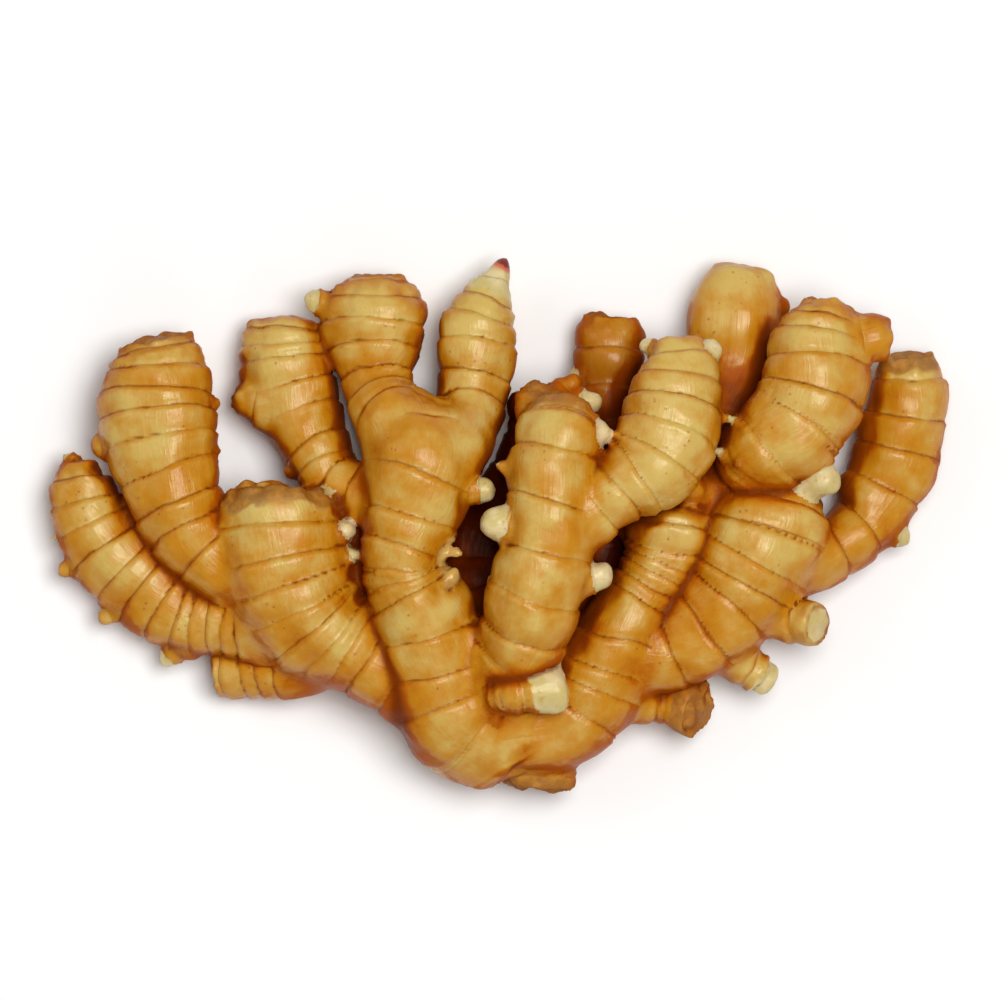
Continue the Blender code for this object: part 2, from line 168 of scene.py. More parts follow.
LIMBS: tuple[Limb, ...] = (
    Limb("foot", "", (
        (0, -34, 16.5, 26, 28), (2, -42, 14.7, 29.6, 28), (3.2, -48.2, 13.2, 33, 27),
        (5, -51.8, 13, 28, 21),
    ), 1.4, 3.6, Tip.WORN, 3, rings=((3, 0), (9, 0.5)), warmth=0.35, root_warmth=0),
    Limb("foot_scar", "foot", (
        (6.4, -50.4, 13, 19.6, 19), (7.8, -54.4, 12.5, 20, 16), (8, -57.4, 12.5, 18.8, 11.5),
    ), 2.2, 3.2, tip_reach=5.6, rings=((3.6, 0.4),), warmth=1),
    Limb("centre_left", "foot", (
        (1.5, -49, 15, 26, 25), (-6.4, -42.6, 17, 28, 27), (-11.3, -32.6, 19, 28, 27),
        (-14.4, -23.6, 21.5, 26, 25.5), (-17.2, -17.6, 23.5, 22.5, 24), (-21, -9.8, 25, 17, 22),
        (-19.6, -1.8, 26, 19.8, 22.5), (-17.7, 6.7, 26, 23.6, 23.5), (-16.6, 14.6, 25, 26.3, 24.5),
        (-16.6, 20.4, 22, 24.5, 20.5), (-15.8, 25, 18.5, 20, 14.5),
    ), 2, 3, Tip.WORN, 7, rings=(
        (10.6, 0.2), (19.4, -1.8), (28.2, -0.3), (34.5, -0.3), (39.5, -0.3), (42.2, -0.2),
        (45.4, 0), (54.7, -2), (64.2, -1.5), (72, -0.5), (79, 0.5),
    ), bow=1.2, root_warmth=0.2),
    Limb("left_mother", "foot", (
        (1.4, -48, 15, 22, 23), (-8.4, -42.9, 15.5, 21.4, 23), (-20.2, -34.3, 16.5, 20.4, 23),
        (-30.4, -28.4, 17.5, 20.5, 24), (-39.4, -22.8, 18.5, 24.5, 25), (-44.7, -14.7, 19.5, 28, 26),
        (-47, -5.8, 20, 29, 26.5), (-47.8, 2.2, 19.5, 28, 25), (-48, 6, 19, 24.5, 20),
    ), 1.4, 3.6, tip_reach=7, rings=(
        (8.5, 0.3), (15, 0.5), (21, 0), (27, -0.8), (32, -0.8), (37, -1.3), (40.8, -0.5),
        (45.5, -0.5), (54, 0),
    ), warmth=0.45),
    Limb("right_mother", "foot", (
        (8, -46.6, 14.5, 20, 24), (14.6, -42.9, 15.5, 23.2, 24), (20.4, -37, 16.5, 22.5, 23.5),
        (25.3, -29.2, 17.5, 20.5, 23), (29.3, -22.5, 18.5, 19, 21), (34.2, -14.7, 18.5, 16.5, 19),
        (37.8, -7.4, 19, 18, 18), (39.4, -1.6, 19.8, 19.5, 18), (40.6, 2.2, 19.8, 17, 15),
    ), 1.8, 3, rings=(
        (4.5, 1), (10, 0.8), (13.5, 0.3), (16, -0.2), (19.2, -0.3), (23.2, 0), (32.5, 2.4),
        (40, 2), (45, 2.3), (51, 1),
    ), warmth=0.5),
    Limb("centre_front", "centre_left", (
        (-7, -38, 18, 17, 17), (1, -33, 24, 18, 18), (5.6, -27, 29, 19.5, 19.5),
        (8.4, -18.3, 32.5, 21, 21.5), (10.6, -10.7, 34, 20.8, 21.5), (12.2, -3.6, 34.8, 19, 20.5),
        (12.6, 3.1, 35, 19.3, 20.5), (12.6, 10.9, 35, 20, 20.5), (13.8, 16.6, 34.5, 19.4, 19.5),
        (14.9, 21.8, 33.5, 18.6, 17), (15.4, 24.6, 32, 15, 12.5),
    ), 1.4, 3.6, tip_reach=5.5, rings=(
        (4.4, -0.5), (11, 0.2), (22, -3), (33.3, -0.3), (43, -0.6), (52, 0), (58, 0.5),
    )),
    Limb("back_stump", "centre_front", (
        (13, 13, 31, 13, 13), (12.4, 22, 27, 14.6, 13.5), (12.4, 25.4, 25.6, 15, 12.5),
        (13.8, 27.8, 25, 13.4, 9),
    ), 1.2, 3.4, tip_reach=6, warmth=1.1, shade=0.85, joint=0.4),
    Limb("centre_right", "centre_front", (
        (11, -6, 33, 14, 16), (21.5, 2.6, 33, 14.6, 17), (28, 7.8, 33.3, 16, 18.5),
        (34.4, 12.8, 33, 21, 20.5), (37.9, 19.3, 32, 22.4, 21), (39.8, 26.5, 30.5, 21.6, 20.5),
        (41, 34, 29, 18.7, 18), (40.8, 39.2, 28, 12.5, 12.5),
    ), 2, tip=Tip.WORN, rings=(
        (4.5, 0.3), (9.6, 0.4), (15, 0.5), (21.7, -0.3), (27.8, 0.2), (33.6, -0.3), (38.8, 0.3),
        (45, 0),
    ), warmth=0.25),
    # Painted shade: it lies deep in the pit between centre_left and centre_front, so it is nearly black.
    Limb("back_middle", "foot", (
        (-2, -36, 16, 17, 16), (-1.5, -22, 13.5, 18, 16), (-3.5, -7, 9.5, 22.5, 15.5),
        (4.4, 8, 9.5, 15, 14.5), (10.6, 20.5, 11, 14, 14.5), (11.2, 27.2, 11.5, 15.4, 13),
    ), 2.5, tip=Tip.WORN, warmth=1, shade=0.30),
    # Painted shade: it lies low under the left limbs, so it is darker.
    Limb("under_left", "foot", (
        (-2, -38, 15, 15, 16), (-13, -30, 12, 14.5, 15.5), (-25, -18, 12.6, 15.5, 18),
        (-29.4, -8, 13.4, 15.5, 18.6), (-30.4, 1, 12, 14, 16),
    ), 2.5, warmth=1.1, shade=0.6),
    # Painted shade: a limb low under the middle, nearly black so that the hole over it reads as deep shade.
    Limb("under_right", "foot", (
        (2, -40, 15, 15, 16), (10, -31, 12.5, 15, 16), (18.5, -20, 9.5, 15, 15.5),
        (22.6, -10, 6.6, 14, 12), (24.4, 0, 6, 15, 11),
    ), 2.5, warmth=1.1, shade=0.14),
    # Painted shade: it lies low under centre_right, so it is darker and warmer.
    Limb("back_centre", "right_mother", (
        (38, -7, 17, 14, 14), (33, 2.5, 12, 13, 13), (28.5, 13, 9.3, 13, 13),
        (25.2, 24, 8, 12.8, 13), (25, 31, 7.6, 13.4, 13.8), (25.7, 36.8, 7.3, 16.2, 15),
        (26, 42.2, 7.4, 16, 14.6), (26.2, 45.6, 7.4, 13.2, 11.5),
    ), 1.6, 3, rings=((8.5, 0), (17, 0.5), (26, 0)), warmth=1.2, shade=0.60, joint=0.1),
    Limb("right_big", "right_mother", (
        (25.3, -29.2, 15, 17, 19), (34.9, -28.6, 15.6, 18.5, 20), (44.5, -24.1, 17.2, 21.5, 21.5),
        (51.2, -18.1, 17.8, 24.5, 23.5), (56.5, -10.3, 18.2, 26.3, 24.5), (60.3, -2.5, 18.5, 27, 24.5),
        (62, 3.7, 17.5, 25, 22), (63, 7.6, 16.5, 18.5, 16.5),
    ), 1.8, 2.8, tip_reach=7, rings=(
        (6.5, 0), (12.3, 0), (18.6, -0.3), (24.2, 1), (29.6, -0.3), (37, 0), (44.7, -0.3),
    ), warmth=0.4, joint=0.6),
    Limb("right_outer", "right_big", (
        (57.5, -12.5, 16.5, 15, 17), (69.9, -8.5, 13.5, 14.6, 17), (78, -4.3, 11, 14.4, 17),
        (83.8, 0.4, 9.5, 15.6, 17.6), (87.1, 7.2, 9, 18.4, 18), (89.9, 14.3, 9, 19.2, 18.2),
        (91.4, 22.4, 9.2, 19, 18), (92.6, 31.4, 10, 17.6, 16), (92.4, 37.3, 10.7, 12.8, 11),
    ), 1.5, 3, tip_reach=6.4, rings=(
        (6.4, 0.3), (14.8, 0.2), (23, -0.4), (32, -0.5), (43, -0.4), (51, 0),
    ), warmth=0.35),
    Limb("right_tall", "right_mother", (
        (42, 4, 13, 12, 12), (53, 9.8, 16.5, 14, 15), (58.8, 15.2, 22.5, 20.4, 19.5),
        (63.6, 19.2, 24.7, 22, 21), (68.2, 22.8, 25, 23, 21.5), (71.3, 30.6, 24.5, 23.6, 21.5),
        (72.2, 38.6, 23.5, 21.4, 20), (73.6, 45.2, 22.5, 17.2, 17), (74.2, 49, 22, 10.8, 11),
    ), 1.5, rings=(
        (6.4, 0.2), (9.6, 0.2), (15.1, 0), (22.5, 0.3), (29.8, 0.5), (37.8, 0.2), (43.5, 0.3),
    ), bow=1.4, warmth=0.4, root_warmth=0.5, joint=0.1),
    # Painted shade: its root end is painted deep orange for the shade and warm bounced light under
    # right_tall.
    Limb("back_right", "right_mother", (
        (42, 4, 16, 12, 13), (48.5, 16, 12, 14, 14), (52, 27, 9.8, 17, 16),
        (53.5, 36, 9.2, 20, 18), (53.8, 43.5, 9.1, 21.2, 18.4), (54.9, 50.4, 9.2, 19.8, 17),
        (55.8, 55.8, 9.2, 14.2, 12.5),
    ), 1.6, 3.2, Tip.WORN, 3, rings=((34, 0.5), (42, 0)), warmth=1.3,
        root_warmth=4, joint=0.1),
    Limb("shoot", "centre_left", (
        (-15.5, 8, 27, 18, 18), (-10.4, 16, 24.5, 17.4, 18), (-6.3, 22.6, 18, 15.4, 15.4),
        (-5.2, 30, 14.3, 15.3, 15.3), (-4.2, 36.6, 13.2, 16.8, 16.5), (-3.5, 42.2, 12.5, 17, 16.5),
        (-2.2, 48.2, 12, 14.6, 14.2), (-0.1, 53.4, 12, 9.4, 9), (1.5, 57.2, 12, 4.8, 4.6),
    ), 3, 1.3, Tip.SHOOT, 13, rings=(
        (6.5, 0.5), (11, -0.3), (15.5, -0.3), (21.3, 0.2), (28.5, 0), (35, 0),
    ), warmth=-0.5, root_warmth=0.7),
    Limb("upper_centre", "centre_left", (
        (-18, 11, 27.5, 19, 19), (-22.4, 21, 23.6, 18, 19), (-26, 29.8, 16.6, 14.4, 14.8),
        (-26.8, 38.8, 14, 20.6, 19), (-26.9, 46.4, 12.8, 24, 21), (-26.8, 51.8, 12.5, 19.2, 17),
        (-26.8, 54.8, 12.5, 12.6, 12),
    ), 1.3, 2.8, rings=(
        (2.2, 0), (6, 0), (12, -0.8), (17.8, -0.2), (24, 0), (30.3, 0.4), (35, 1),
    )),
    Limb("upper_left", "centre_left", (
        (-18.5, 3, 24, 13, 14), (-27.6, 6, 18.5, 14, 15), (-35.4, 9.6, 14.5, 13, 14.5),
        (-38.9, 15.8, 12, 14.8, 15.5), (-42.2, 22.9, 10, 17, 16.5), (-45.7, 31, 8.8, 20.4, 18),
        (-47.3, 38.4, 8.7, 20.2, 17.4), (-47.4, 43.9, 8.7, 16.4, 14),
    ), 2.4, 2.8, Tip.WORN, rings=(
        (3, 0), (6.5, 0), (9.5, -0.2), (16.3, -0.4), (22.8, -0.4), (31.2, 1), (36, 0.4),
        (41, 0.3), (47, 0),
    )),
    Limb("left_tall", "left_mother", (
        (-48, -12, 18.5, 16, 18), (-58, -10.2, 18, 16, 18), (-65.8, -4.7, 17.5, 17.5, 19),
        (-70.2, 3.8, 17, 21.3, 21), (-72.3, 10.9, 16.5, 22.8, 22), (-74.4, 17.2, 16, 24.5, 22.5),
        (-75.5, 26.5, 15, 25.8, 23), (-75.3, 34.2, 14.5, 24.2, 21), (-76.2, 40, 14.5, 17.8, 16),
    ), 2, 3.2, tip_reach=5, rings=(
        (3.5, 0), (7.3, 0), (13, 0.2), (18, 0), (23.8, 0.2), (31, 0.4), (38.7, 0.5), (44.5, 0.5),
        (51, 0),
    ), warmth=0.35),
    Limb("left_outer", "left_mother", (
        (-42, -20, 16, 15, 17), (-50, -22.8, 14, 15.5, 17), (-60, -21, 11.5, 16.5, 17.5),
        (-69, -19, 9.8, 19.4, 18.2), (-77.8, -13.8, 9.1, 20.2, 18.8), (-86.1, -6, 9, 19.4, 18.6),
        (-91, 2.8, 9.3, 17.2, 16.8), (-92.8, 10, 9.6, 12.8, 12.4), (-93, 12.7, 9.7, 7, 8),
    ), 1.8, rings=(
        (4.4, 0), (9.7, -0.4), (15, 0), (21.2, -0.2), (27.7, -0.3), (33.8, -0.3), (40, -0.7),
        (44, -0.3), (47.8, -0.3), (51.2, 0), (54.6, 0.3), (57.6, 0.5),
    ), warmth=0.35),
    Limb("low_left", "left_mother", (
        (-33, -29, 14, 15, 17), (-42, -31.8, 10, 13.2, 15), (-51, -32.4, 7.6, 13, 14),
        (-61.5, -32.7, 6.4, 13.4, 13),
    ), 1.8, 3, Tip.SCAR, 4, rings=((3, 0.5), (7.5, 0.5), (11, 0.5), (16, 0)), warmth=0.8),
    Limb("knob_right", "right_big", (
        (54, -14, 18, 12, 13), (64.5, -20.8, 17, 10.6, 10.4), (71.6, -22.4, 21.4, 10.2, 9.8),
    ), 1.6, 2.8, Tip.CUT, 4.5, rings=((6.2, 0), (13, 0))),
    Limb("knob_low_right", "right_big", (
        (45, -23.5, 16.5, 14, 15), (54, -30.4, 13.5, 10.6, 10.6), (61, -35, 12, 7.8, 7.6),
    ), 1.4, tip=Tip.FRESH),
    Limb("knob_bottom", "right_mother", (
        (20.4, -37, 16.5, 12, 13), (31.5, -39.2, 12.5, 10.8, 11.5), (38.6, -39.8, 10.2, 11.4, 11.5),
        (45, -41.8, 13.4, 13.2, 12.4),
    ), 1.3, 3.4, Tip.SCAR, 6, rings=((8.5, 0), (13, 0.3), (18, 0)), warmth=0.5),
    Limb("upper_left_knob", "upper_left", (
        (-44, 24.5, 10, 15, 15), (-50.6, 27, 9.8, 13.5, 13), (-55.8, 28.6, 9.6, 8, 8.5),
    ), 3.6, 1.7, tip_reach=2.6, rings=((7, 0.6), (11, 0.3))),
    Limb("right_tall_knob", "right_tall", (
        (73.5, 38, 23, 15, 14), (80.6, 41.2, 22, 12.6, 12.5), (85.4, 41, 21, 9.8, 10),
    ), 3.2, 2, tip_reach=3.6, rings=((8.4, 0.3),), warmth=1),
    Limb("knob_centre", "foot", (
        (-3, -38, 23, 9, 11), (2, -37.8, 29.5, 9.4, 10), (7, -37.3, 31.5, 10.4, 10.4),
        (11.5, -36.9, 32.2, 10, 10), (13.6, -36.8, 32.2, 9.6, 9.4),
    ), 2.6, 3.4, Tip.FRESH, 7, rings=((10.6, 0.4), (14.5, 0.6))),
)

BUDS: tuple[Bud, ...] = (
    Bud("upper_centre", (-42.5, 50.1, 14.5), 6.2, 5, 0.85),
    Bud("upper_centre", (-15.8, 39.8, 14), 2.6, tip=Tip.PLAIN),
    Bud("centre_right", (32, 40.6, 27), 5.6, 6, 0.9),
    Bud("centre_right", (50.2, 39.4, 31.5), 5, 4, 0.95, 3, tip_reach=4),
    Bud("back_stump", (18.6, 32.4, 27), 5, 2, 0.6, tip=Tip.WORN),
    Bud("back_stump", (5.4, 27.2, 26), 4.6, 2, 0.5, tip=Tip.WORN),
    Bud("back_stump", (24, 26.6, 28), 5.4, 3, 0.9, 3, tip_reach=4),
    Bud("centre_right", (53.6, 23.2, 28.5), 5.2, 2, 0.45, tip_reach=2),
    Bud("right_big", (75.8, 10.6, 28), 8, 3, 0.9, 3.2, tip_reach=9),
    Bud("right_big", (67, 12.6, 22), 6, 4, 0.4, 1.6, tip_reach=1.6),
    Bud("right_big", (60, 11.4, 25), 6, 3, 0.3, 1.6, tip_reach=1.4),
    Bud("right_tall", (49, 16, 29.5), 7, 3, 0.4, 1.6, tip_reach=1.6),
    Bud("right_tall", (45.6, 11.2, 28), 6, 3, 0.4, 1.6, tip_reach=1.6),
    Bud("right_tall", (53.4, 13.2, 33), 5, 3, 0.3, 1.6, tip_reach=1.4),
    Bud("centre_front", (25.4, 21.4, 36.5), 6.8, 7, 0.9, 3, tip_reach=4.6),
    Bud("centre_front", (26.8, -11, 34.5), 7.2, 9, 0.9, tip_reach=5),
    Bud("centre_front", (-3, 1, 38), 9.2, 3, 0.9, 2.4, tip_reach=5.6),
    Bud("centre_front", (-1.2, -12.2, 33), 3.6, 3),
    Bud("centre_front", (-0.4, 13.6, 36), 7.6, 4, 0.5, 1.8, tip_reach=1.4),
    Bud("centre_left", (0, 7.6, 29), 5.4, 4, 0.9),
    Bud("centre_left", (-16, 27.4, 28), 8.4, 2, 0.6, 2.8, Tip.SCAR, 4),
    Bud("centre_left", (-9.2, -3.6, 31), 4.2, 2, 0.5, 1.5, Tip.GOLD, 7),
    Bud("centre_left", (-7.2, -7, 31.5), 5, 2, 0.5, 1.5, Tip.GOLD, 8),
    Bud("centre_left", (-7.4, -10.8, 32), 5.4, 1, 0.5, 1.5, Tip.GOLD, 8),
    Bud("centre_left", (-9.4, -13.6, 33), 5, 1, 0.5, 1.5, Tip.GOLD, 7),
    Bud("centre_left", (-13, -15, 34), 4.6, 1, 0.5, 1.5, Tip.GOLD, 5),
    Bud("centre_front", (-0.6, -17.6, 33), 4.6, 3, 0.9, tip_reach=3.4),
    Bud("left_mother", (-51.8, 8.6, 26), 5.6, 2, 0.5, tip=Tip.SCAR),
    Bud("left_mother", (-30.9, -0.4, 25), 6.2, 6, 0.85),
    Bud("left_mother", (-36, 7.4, 22.5), 5.8, 6, 0.85),
    Bud("left_mother", (-30.4, -6.4, 24.5), 6, 3, tip_reach=1.4),
    Bud("left_mother", (-30.6, -13.4, 24), 5.2, 3, tip=Tip.PLAIN),
    Bud("left_mother", (-57.8, 8.2, 22), 8.4, 6, 0.85, tip=Tip.SCAR),
    Bud("left_tall", (-61, 27.2, 15.5), 3.2, tip=Tip.PLAIN),
    Bud("left_tall", (-60.6, 16.6, 17), 3.6, tip=Tip.PLAIN),
    Bud("left_tall", (-89.7, 18.4, 13), 8.6, 7, 0.8, tip=Tip.PLAIN),
    Bud("left_outer", (-98.2, -10.6, 9), 8.8, 5, 0.5, tip=Tip.SCAR),
    Bud("left_outer", (-88.9, -21.8, 8.5), 9.6, 6, 0.5, tip=Tip.SCAR),
    Bud("left_outer", (-74.3, -32, 7.5), 9.4, 5, 0.55),
    Bud("left_outer", (-99.4, 5.6, 9), 5, 3, tip=Tip.PLAIN),
    Bud("left_outer", (-96.6, 15.6, 10), 2.8, 2, 0.5, tip_reach=1.6),
    Bud("left_outer", (-100, -3.6, 9), 4.4, 3, 0.5, tip_reach=1.6),
    Bud("right_outer", (99.9, 31.6, 10), 3.8, 3, 0.6, tip_reach=1.8),
    Bud("upper_left", (-46.6, 11.4, 11.5), 6.4, 2, tip=Tip.PLAIN),
    Bud("right_outer", (100.3, 14.8, 9.5), 8.4, 4, tip=Tip.PLAIN),
    Bud("right_outer", (93.8, -3.2, 9.5), 7.4, 4, 0.9, 3),
    Bud("right_tall", (75.4, 12.2, 21), 4.2, 2, 0.5, tip=Tip.PLAIN),
    Bud("back_right", (66.6, 49, 9.5), 7.6, 4, tip=Tip.PLAIN),
    Bud("foot", (-0.4, -44.6, 29.6), 6, 1, 0.9, tip=Tip.WORN, tip_reach=2.4),
    Bud("back_centre", (16.2, 33, 9), 7, 2, 0.9),
    Bud("knob_centre", (14.4, -30.4, 30), 4.2, 6, 0.9),
)


@dataclass(frozen=True)
class Spots:
    """Where points lie on a stem.

    Attributes:
        run: how far along it, in millimetres.
        angle: the angle round it.
        size: its mean half size there, in millimetres.
        distance: signed distance to its surface, in millimetres.
    """

    run: np.ndarray
    angle: np.ndarray
    size: np.ndarray
    distance: np.ndarray


@dataclass
class Stem:
    """The middle line of a limb or a bud as arrays, with its sections and its rings.

    Attributes:
        centre: places along the line, in millimetres.
        half: half width and half height at each place.
        tip: how it ends.
        tip_reach: how far back that finish reaches, in millimetres.
        parent: number of the stem that it grows from, or -1.
        is_bud: whether it is a bud.
        seed: number that its small variations follow from.
        rings: (millimetres along the line, slant) of each growth ring.
        bow: how far the rings lead on the upper side, in millimetres.
        warmth: 0 is pale straw, 1 is deep orange.
        root_warmth: how much warmer it is at its root than at its tip.
        shade: painted shade, 1 is as bright as the rest and less paints the limb darker.
        joint: 1 where its root flows into its parent, 0 where it only leans on it.
    """

    centre: np.ndarray
    half: np.ndarray
    tip: Tip
    tip_reach: float
    parent: int
    is_bud: bool
    seed: int
    rings: tuple[tuple[float, float], ...] = ()
    bow: float = 0.6
    warmth: float = 0.4
    root_warmth: float = 0.0
    shade: float = 1.0
    joint: float = 1.0
    run: np.ndarray = field(init=False)
    heading: np.ndarray = field(init=False)
    across: np.ndarray = field(init=False)
    upward: np.ndarray = field(init=False)

    def __post_init__(self) -> None:
        """Works out the length run and the frame at each place."""
        steps = np.linalg.norm(np.diff(self.centre, axis=0), axis=1)
        self.run = np.concatenate(([0.0], np.cumsum(steps)))
        ahead = np.gradient(self.centre, axis=0)
        self.heading = ahead / np.linalg.norm(ahead, axis=1, keepdims=True)
        across = np.cross(self.heading, (0.0, 0.0, 1.0))
        flat = np.linalg.norm(across, axis=1, keepdims=True)
        across = np.where(flat < 0.05, (1.0, 0.0, 0.0), across / np.maximum(flat, 1e-6))
        self.across = across
        self.upward = np.cross(across, self.heading)

    @property
    def length(self) -> float:
        """Length from root to point, in millimetres."""
        return float(self.run[-1])

    def ring_wave(self, angle: np.ndarray, number: int) -> np.ndarray:
        """How far a ring strays along the stem as it goes round.

        Args:
            angle: angles round the stem.
            number: which ring.

        Returns:
            The stray at each angle, in millimetres.
        """
        dice = np.random.default_rng(self.seed * 97 + number)
        shift = dice.uniform(0, math.tau, len(RING_STRAYS))
        share = dice.uniform(0.5, 1.0, len(RING_STRAYS))
        return sum(
            share[i] * height * np.sin(waves * angle + shift[i])
            for i, (waves, height) in enumerate(RING_STRAYS)
        )

    def place(self, points: np.ndarray) -> Spots:
        """Finds where points lie along the stem and round it.

        Args:
            points: the points, in millimetres.

        Returns:
            Where they lie.
        """
        reach = (
            (points**2).sum(1)[:, None] - 2 * points @ self.centre.T + (self.centre**2).sum(1)[None, :]
        )
        near = reach.argmin(axis=1)
        along = ((points - self.centre[near]) * self.heading[near]).sum(1)
        run = self.run[near] + along
        limit = np.clip(run, 0.0, self.length)

        def blend(values: np.ndarray) -> np.ndarray:
            """The values at each point's run."""
            return np.stack([np.interp(limit, self.run, values[:, i]) for i in range(values.shape[1])], 1)

        offset = points - blend(self.centre)
        across, upward, half = blend(self.across), blend(self.upward), blend(self.half)
        side, rise = (offset * across).sum(1), (offset * upward).sum(1)
        beyond = run - limit
        ratio = np.sqrt((side / half[:, 0]) ** 2 + (rise / half[:, 1]) ** 2)
        out = np.hypot(side, rise)
        distance = out * (1 - 1 / np.maximum(ratio, 1e-3))
        distance = np.where(beyond != 0, np.hypot(np.maximum(distance, 0), beyond), distance)
        angle = np.arctan2(rise / half[:, 1], side / half[:, 0])
        return Spots(run, angle, np.sqrt(half[:, 0] * half[:, 1]), distance)

    def phase(self, run: np.ndarray, angle: np.ndarray) -> tuple[np.ndarray, np.ndarray]:
        """Counts the rings up to each point, with the share of the internode passed.

        Args:
            run: millimetres along the stem.
            angle: angle round it.

        Returns:
            The phase, a whole number on every ring, and the internode's length in millimetres.
        """
        lines = [
            at + slant * np.cos(angle) + self.bow * np.sin(angle) + self.ring_wave(angle, i)
            for i, (at, slant) in enumerate(self.rings)
        ]
        lines = [lines[0] - PAST_ENDS, *lines, lines[-1] + PAST_ENDS]
        lines = np.maximum.accumulate(np.stack(lines, 1), axis=1)
        passed = np.clip((lines <= run[:, None]).sum(1), 1, len(self.rings) + 1)
        rows = np.arange(len(run))
        low, high = lines[rows, passed - 1], lines[rows, passed]
        gap = np.maximum(high - low, LEAST_INTERNODE)
        share = np.clip((run - low) / gap, 0.0, 0.999)
        share = np.where(passed == 1, np.maximum(share, 0.4), share)
        share = np.where(passed == len(self.rings) + 1, np.minimum(share, 0.6), share)
        return passed - 1 + share, gap


@dataclass
class Rhizome:
    """The whole root: its stems, its fused skin and what every point of the skin knows.

    Attributes:
        section_sides: corners of each lofted section.
        section_step: distance between lofted sections, in millimetres.
        ring_gap: usual distance between rings, in millimetres.
        tip_ring: how far back from the tip the first ring may be, in millimetres.
        tip_gap: usual distance from it to the next ring, in millimetres.
        gap_growth: how much longer each internode is than the one nearer the tip, in millimetres.
        bud_dome: length of a bud's rounded end as a share of its width.
        stems: the middle lines, limbs first.
    """

    section_sides: int = 28
    section_step: float = 1.2
    ring_gap: float = 7.6
    tip_ring: tuple[float, float] = (2.6, 3.4)
    tip_gap: float = 3.6
    gap_growth: float = 1.6
    bud_dome: float = 0.5
    stems: list[Stem] = field(default_factory=list)

    # The middle lines.

    def smooth_line(self, stations: list[tuple[float, ...]], step: float) -> np.ndarray:
        """Places on a smooth curve through the stations.

        Args:
            stations: rows of place and sizes.
            step: distance between places, in millimetres.

        Returns:
            The rows, about a step apart.
        """
        rows = np.array(stations, float)
        ends = np.vstack([rows[0], rows, rows[-1]])
        out = []
        for i in range(len(rows) - 1):
            a, b, c, d = ends[i : i + 4]
            count = max(2, round(float(np.linalg.norm(c[:3] - b[:3])) / step))
            t = (np.arange(count) / count)[:, None]
            out.append(0.5 * (
                2 * b + (c - a) * t + (2 * a - 5 * b + 4 * c - d) * t**2 + (3 * b - a - 3 * c + d) * t**3
            ))
        return np.vstack([*out, rows[-1:]])

    def rounded_end(self, line: np.ndarray, length: float, bluntness: float) -> np.ndarray:
        """Adds a rounded end to a line.

        Args:
            line: rows of place and sizes.
            length: how far the end reaches, in millimetres.
            bluntness: 2 is round, more is flatter, 1 is a cone.

        Returns:
            The rows with those of the end.
        """
        heading = line[-1, :3] - line[-2, :3]
        heading /= np.linalg.norm(heading)
        along = np.array(END_SECTIONS)
        girth = (1 - along**bluntness) ** (1 / bluntness)
        places = line[-1, :3] + heading * (along * length)[:, None]
        return np.vstack([line, np.column_stack([places, line[-1, 3:] * girth[:, None]])])

    def usual_rings(self, length: float, seed: int) -> tuple[tuple[float, float], ...]:
        """Rings at the distances that ginger grows them, closer together towards the tip.

        Args:
            length: length of the limb, in millimetres.
            seed: number that the variations follow from.

        Returns:
            (millimetres along the limb, slant) of each ring, from the root on.
        """
        dice = np.random.default_rng(seed)
        back = [dice.uniform(*self.tip_ring)]
        gap = self.tip_gap
        while back[-1] < length - 4:
            back.append(back[-1] + gap * dice.uniform(0.82, 1.18))
            gap = min(gap + self.gap_growth, self.ring_gap)
        return tuple((length - at, float(dice.uniform(-1.4, 1.4))) for at in reversed(back))

    def limb_stem(self, limb: Limb, parent: int) -> Stem:
        """Lays out a limb.

        Args:
            limb: the limb.
            parent: number of the stem that it grows from, or -1.

        Returns:
            Its stem.
        """
        stations = list(limb.stations)
        if parent >= 0:
            centre = self.stems[parent].centre
            near = np.linalg.norm(centre - stations[0][:3], axis=1).argmin()
            stations[0] = (*centre[near], *stations[0][3:])
        line = self.smooth_line(stations, self.section_step)
        line = self.rounded_end(line, limb.tip_length, limb.bluntness)
        stem = Stem(
            line[:, :3], line[:, 3:] / 2, limb.tip, limb.tip_reach, parent, False, len(self.stems),
            bow=limb.bow, warmth=limb.warmth, root_warmth=limb.root_warmth, shade=limb.shade,
            joint=limb.joint,
        )
        stem.rings = tuple((stem.length - back, slant) for back, slant in reversed(limb.rings))
        if not stem.rings:
            stem.rings = self.usual_rings(stem.length, stem.seed)
        return stem

    def bud_stem(self, bud: Bud, parent: int) -> Stem:
        """Lays out a bud.

        Args:
            bud: the bud.
            parent: number of the limb that it grows from.

        Returns:
            Its stem.
        """
        limb = self.stems[parent]
        point = np.array(bud.point)
        near = np.linalg.norm(limb.centre - point, axis=1).argmin()
        root = limb.centre[np.abs(limb.run - (limb.run[near] - bud.lean)).argmin()]
        dome = self.bud_dome * bud.width
        shoulder = 1 - dome / max(np.linalg.norm(point - root), 2 * dome)
        rows = [
            (*(root + (point - root) * along * shoulder), bud.width * girth, bud.width * girth)
            for along, girth in (*BUD_GIRTHS, (1.0, bud.taper))
        ]
        line = self.rounded_end(self.smooth_line(rows, self.section_step / 2), dome, bud.bluntness)
        stem = Stem(
            line[:, :3], line[:, 3:] / 2, bud.tip, bud.tip_reach, parent, True, len(self.stems),
            bow=0.2, warmth=limb.warmth, shade=limb.shade,
        )
        stem.rings = ((stem.length - bud.tip_reach, 0.0),)
        return stem

    def grow(self) -> None:
        """Lays out every limb, then every bud."""
        numbers: dict[str, int] = {}
        for limb in LIMBS:
            numbers[limb.name] = len(self.stems)
            self.stems.append(self.limb_stem(limb, numbers.get(limb.grows_from, -1)))
        for bud in BUDS:
            self.stems.append(self.bud_stem(bud, numbers[bud.grows_from]))

    # The mesh.

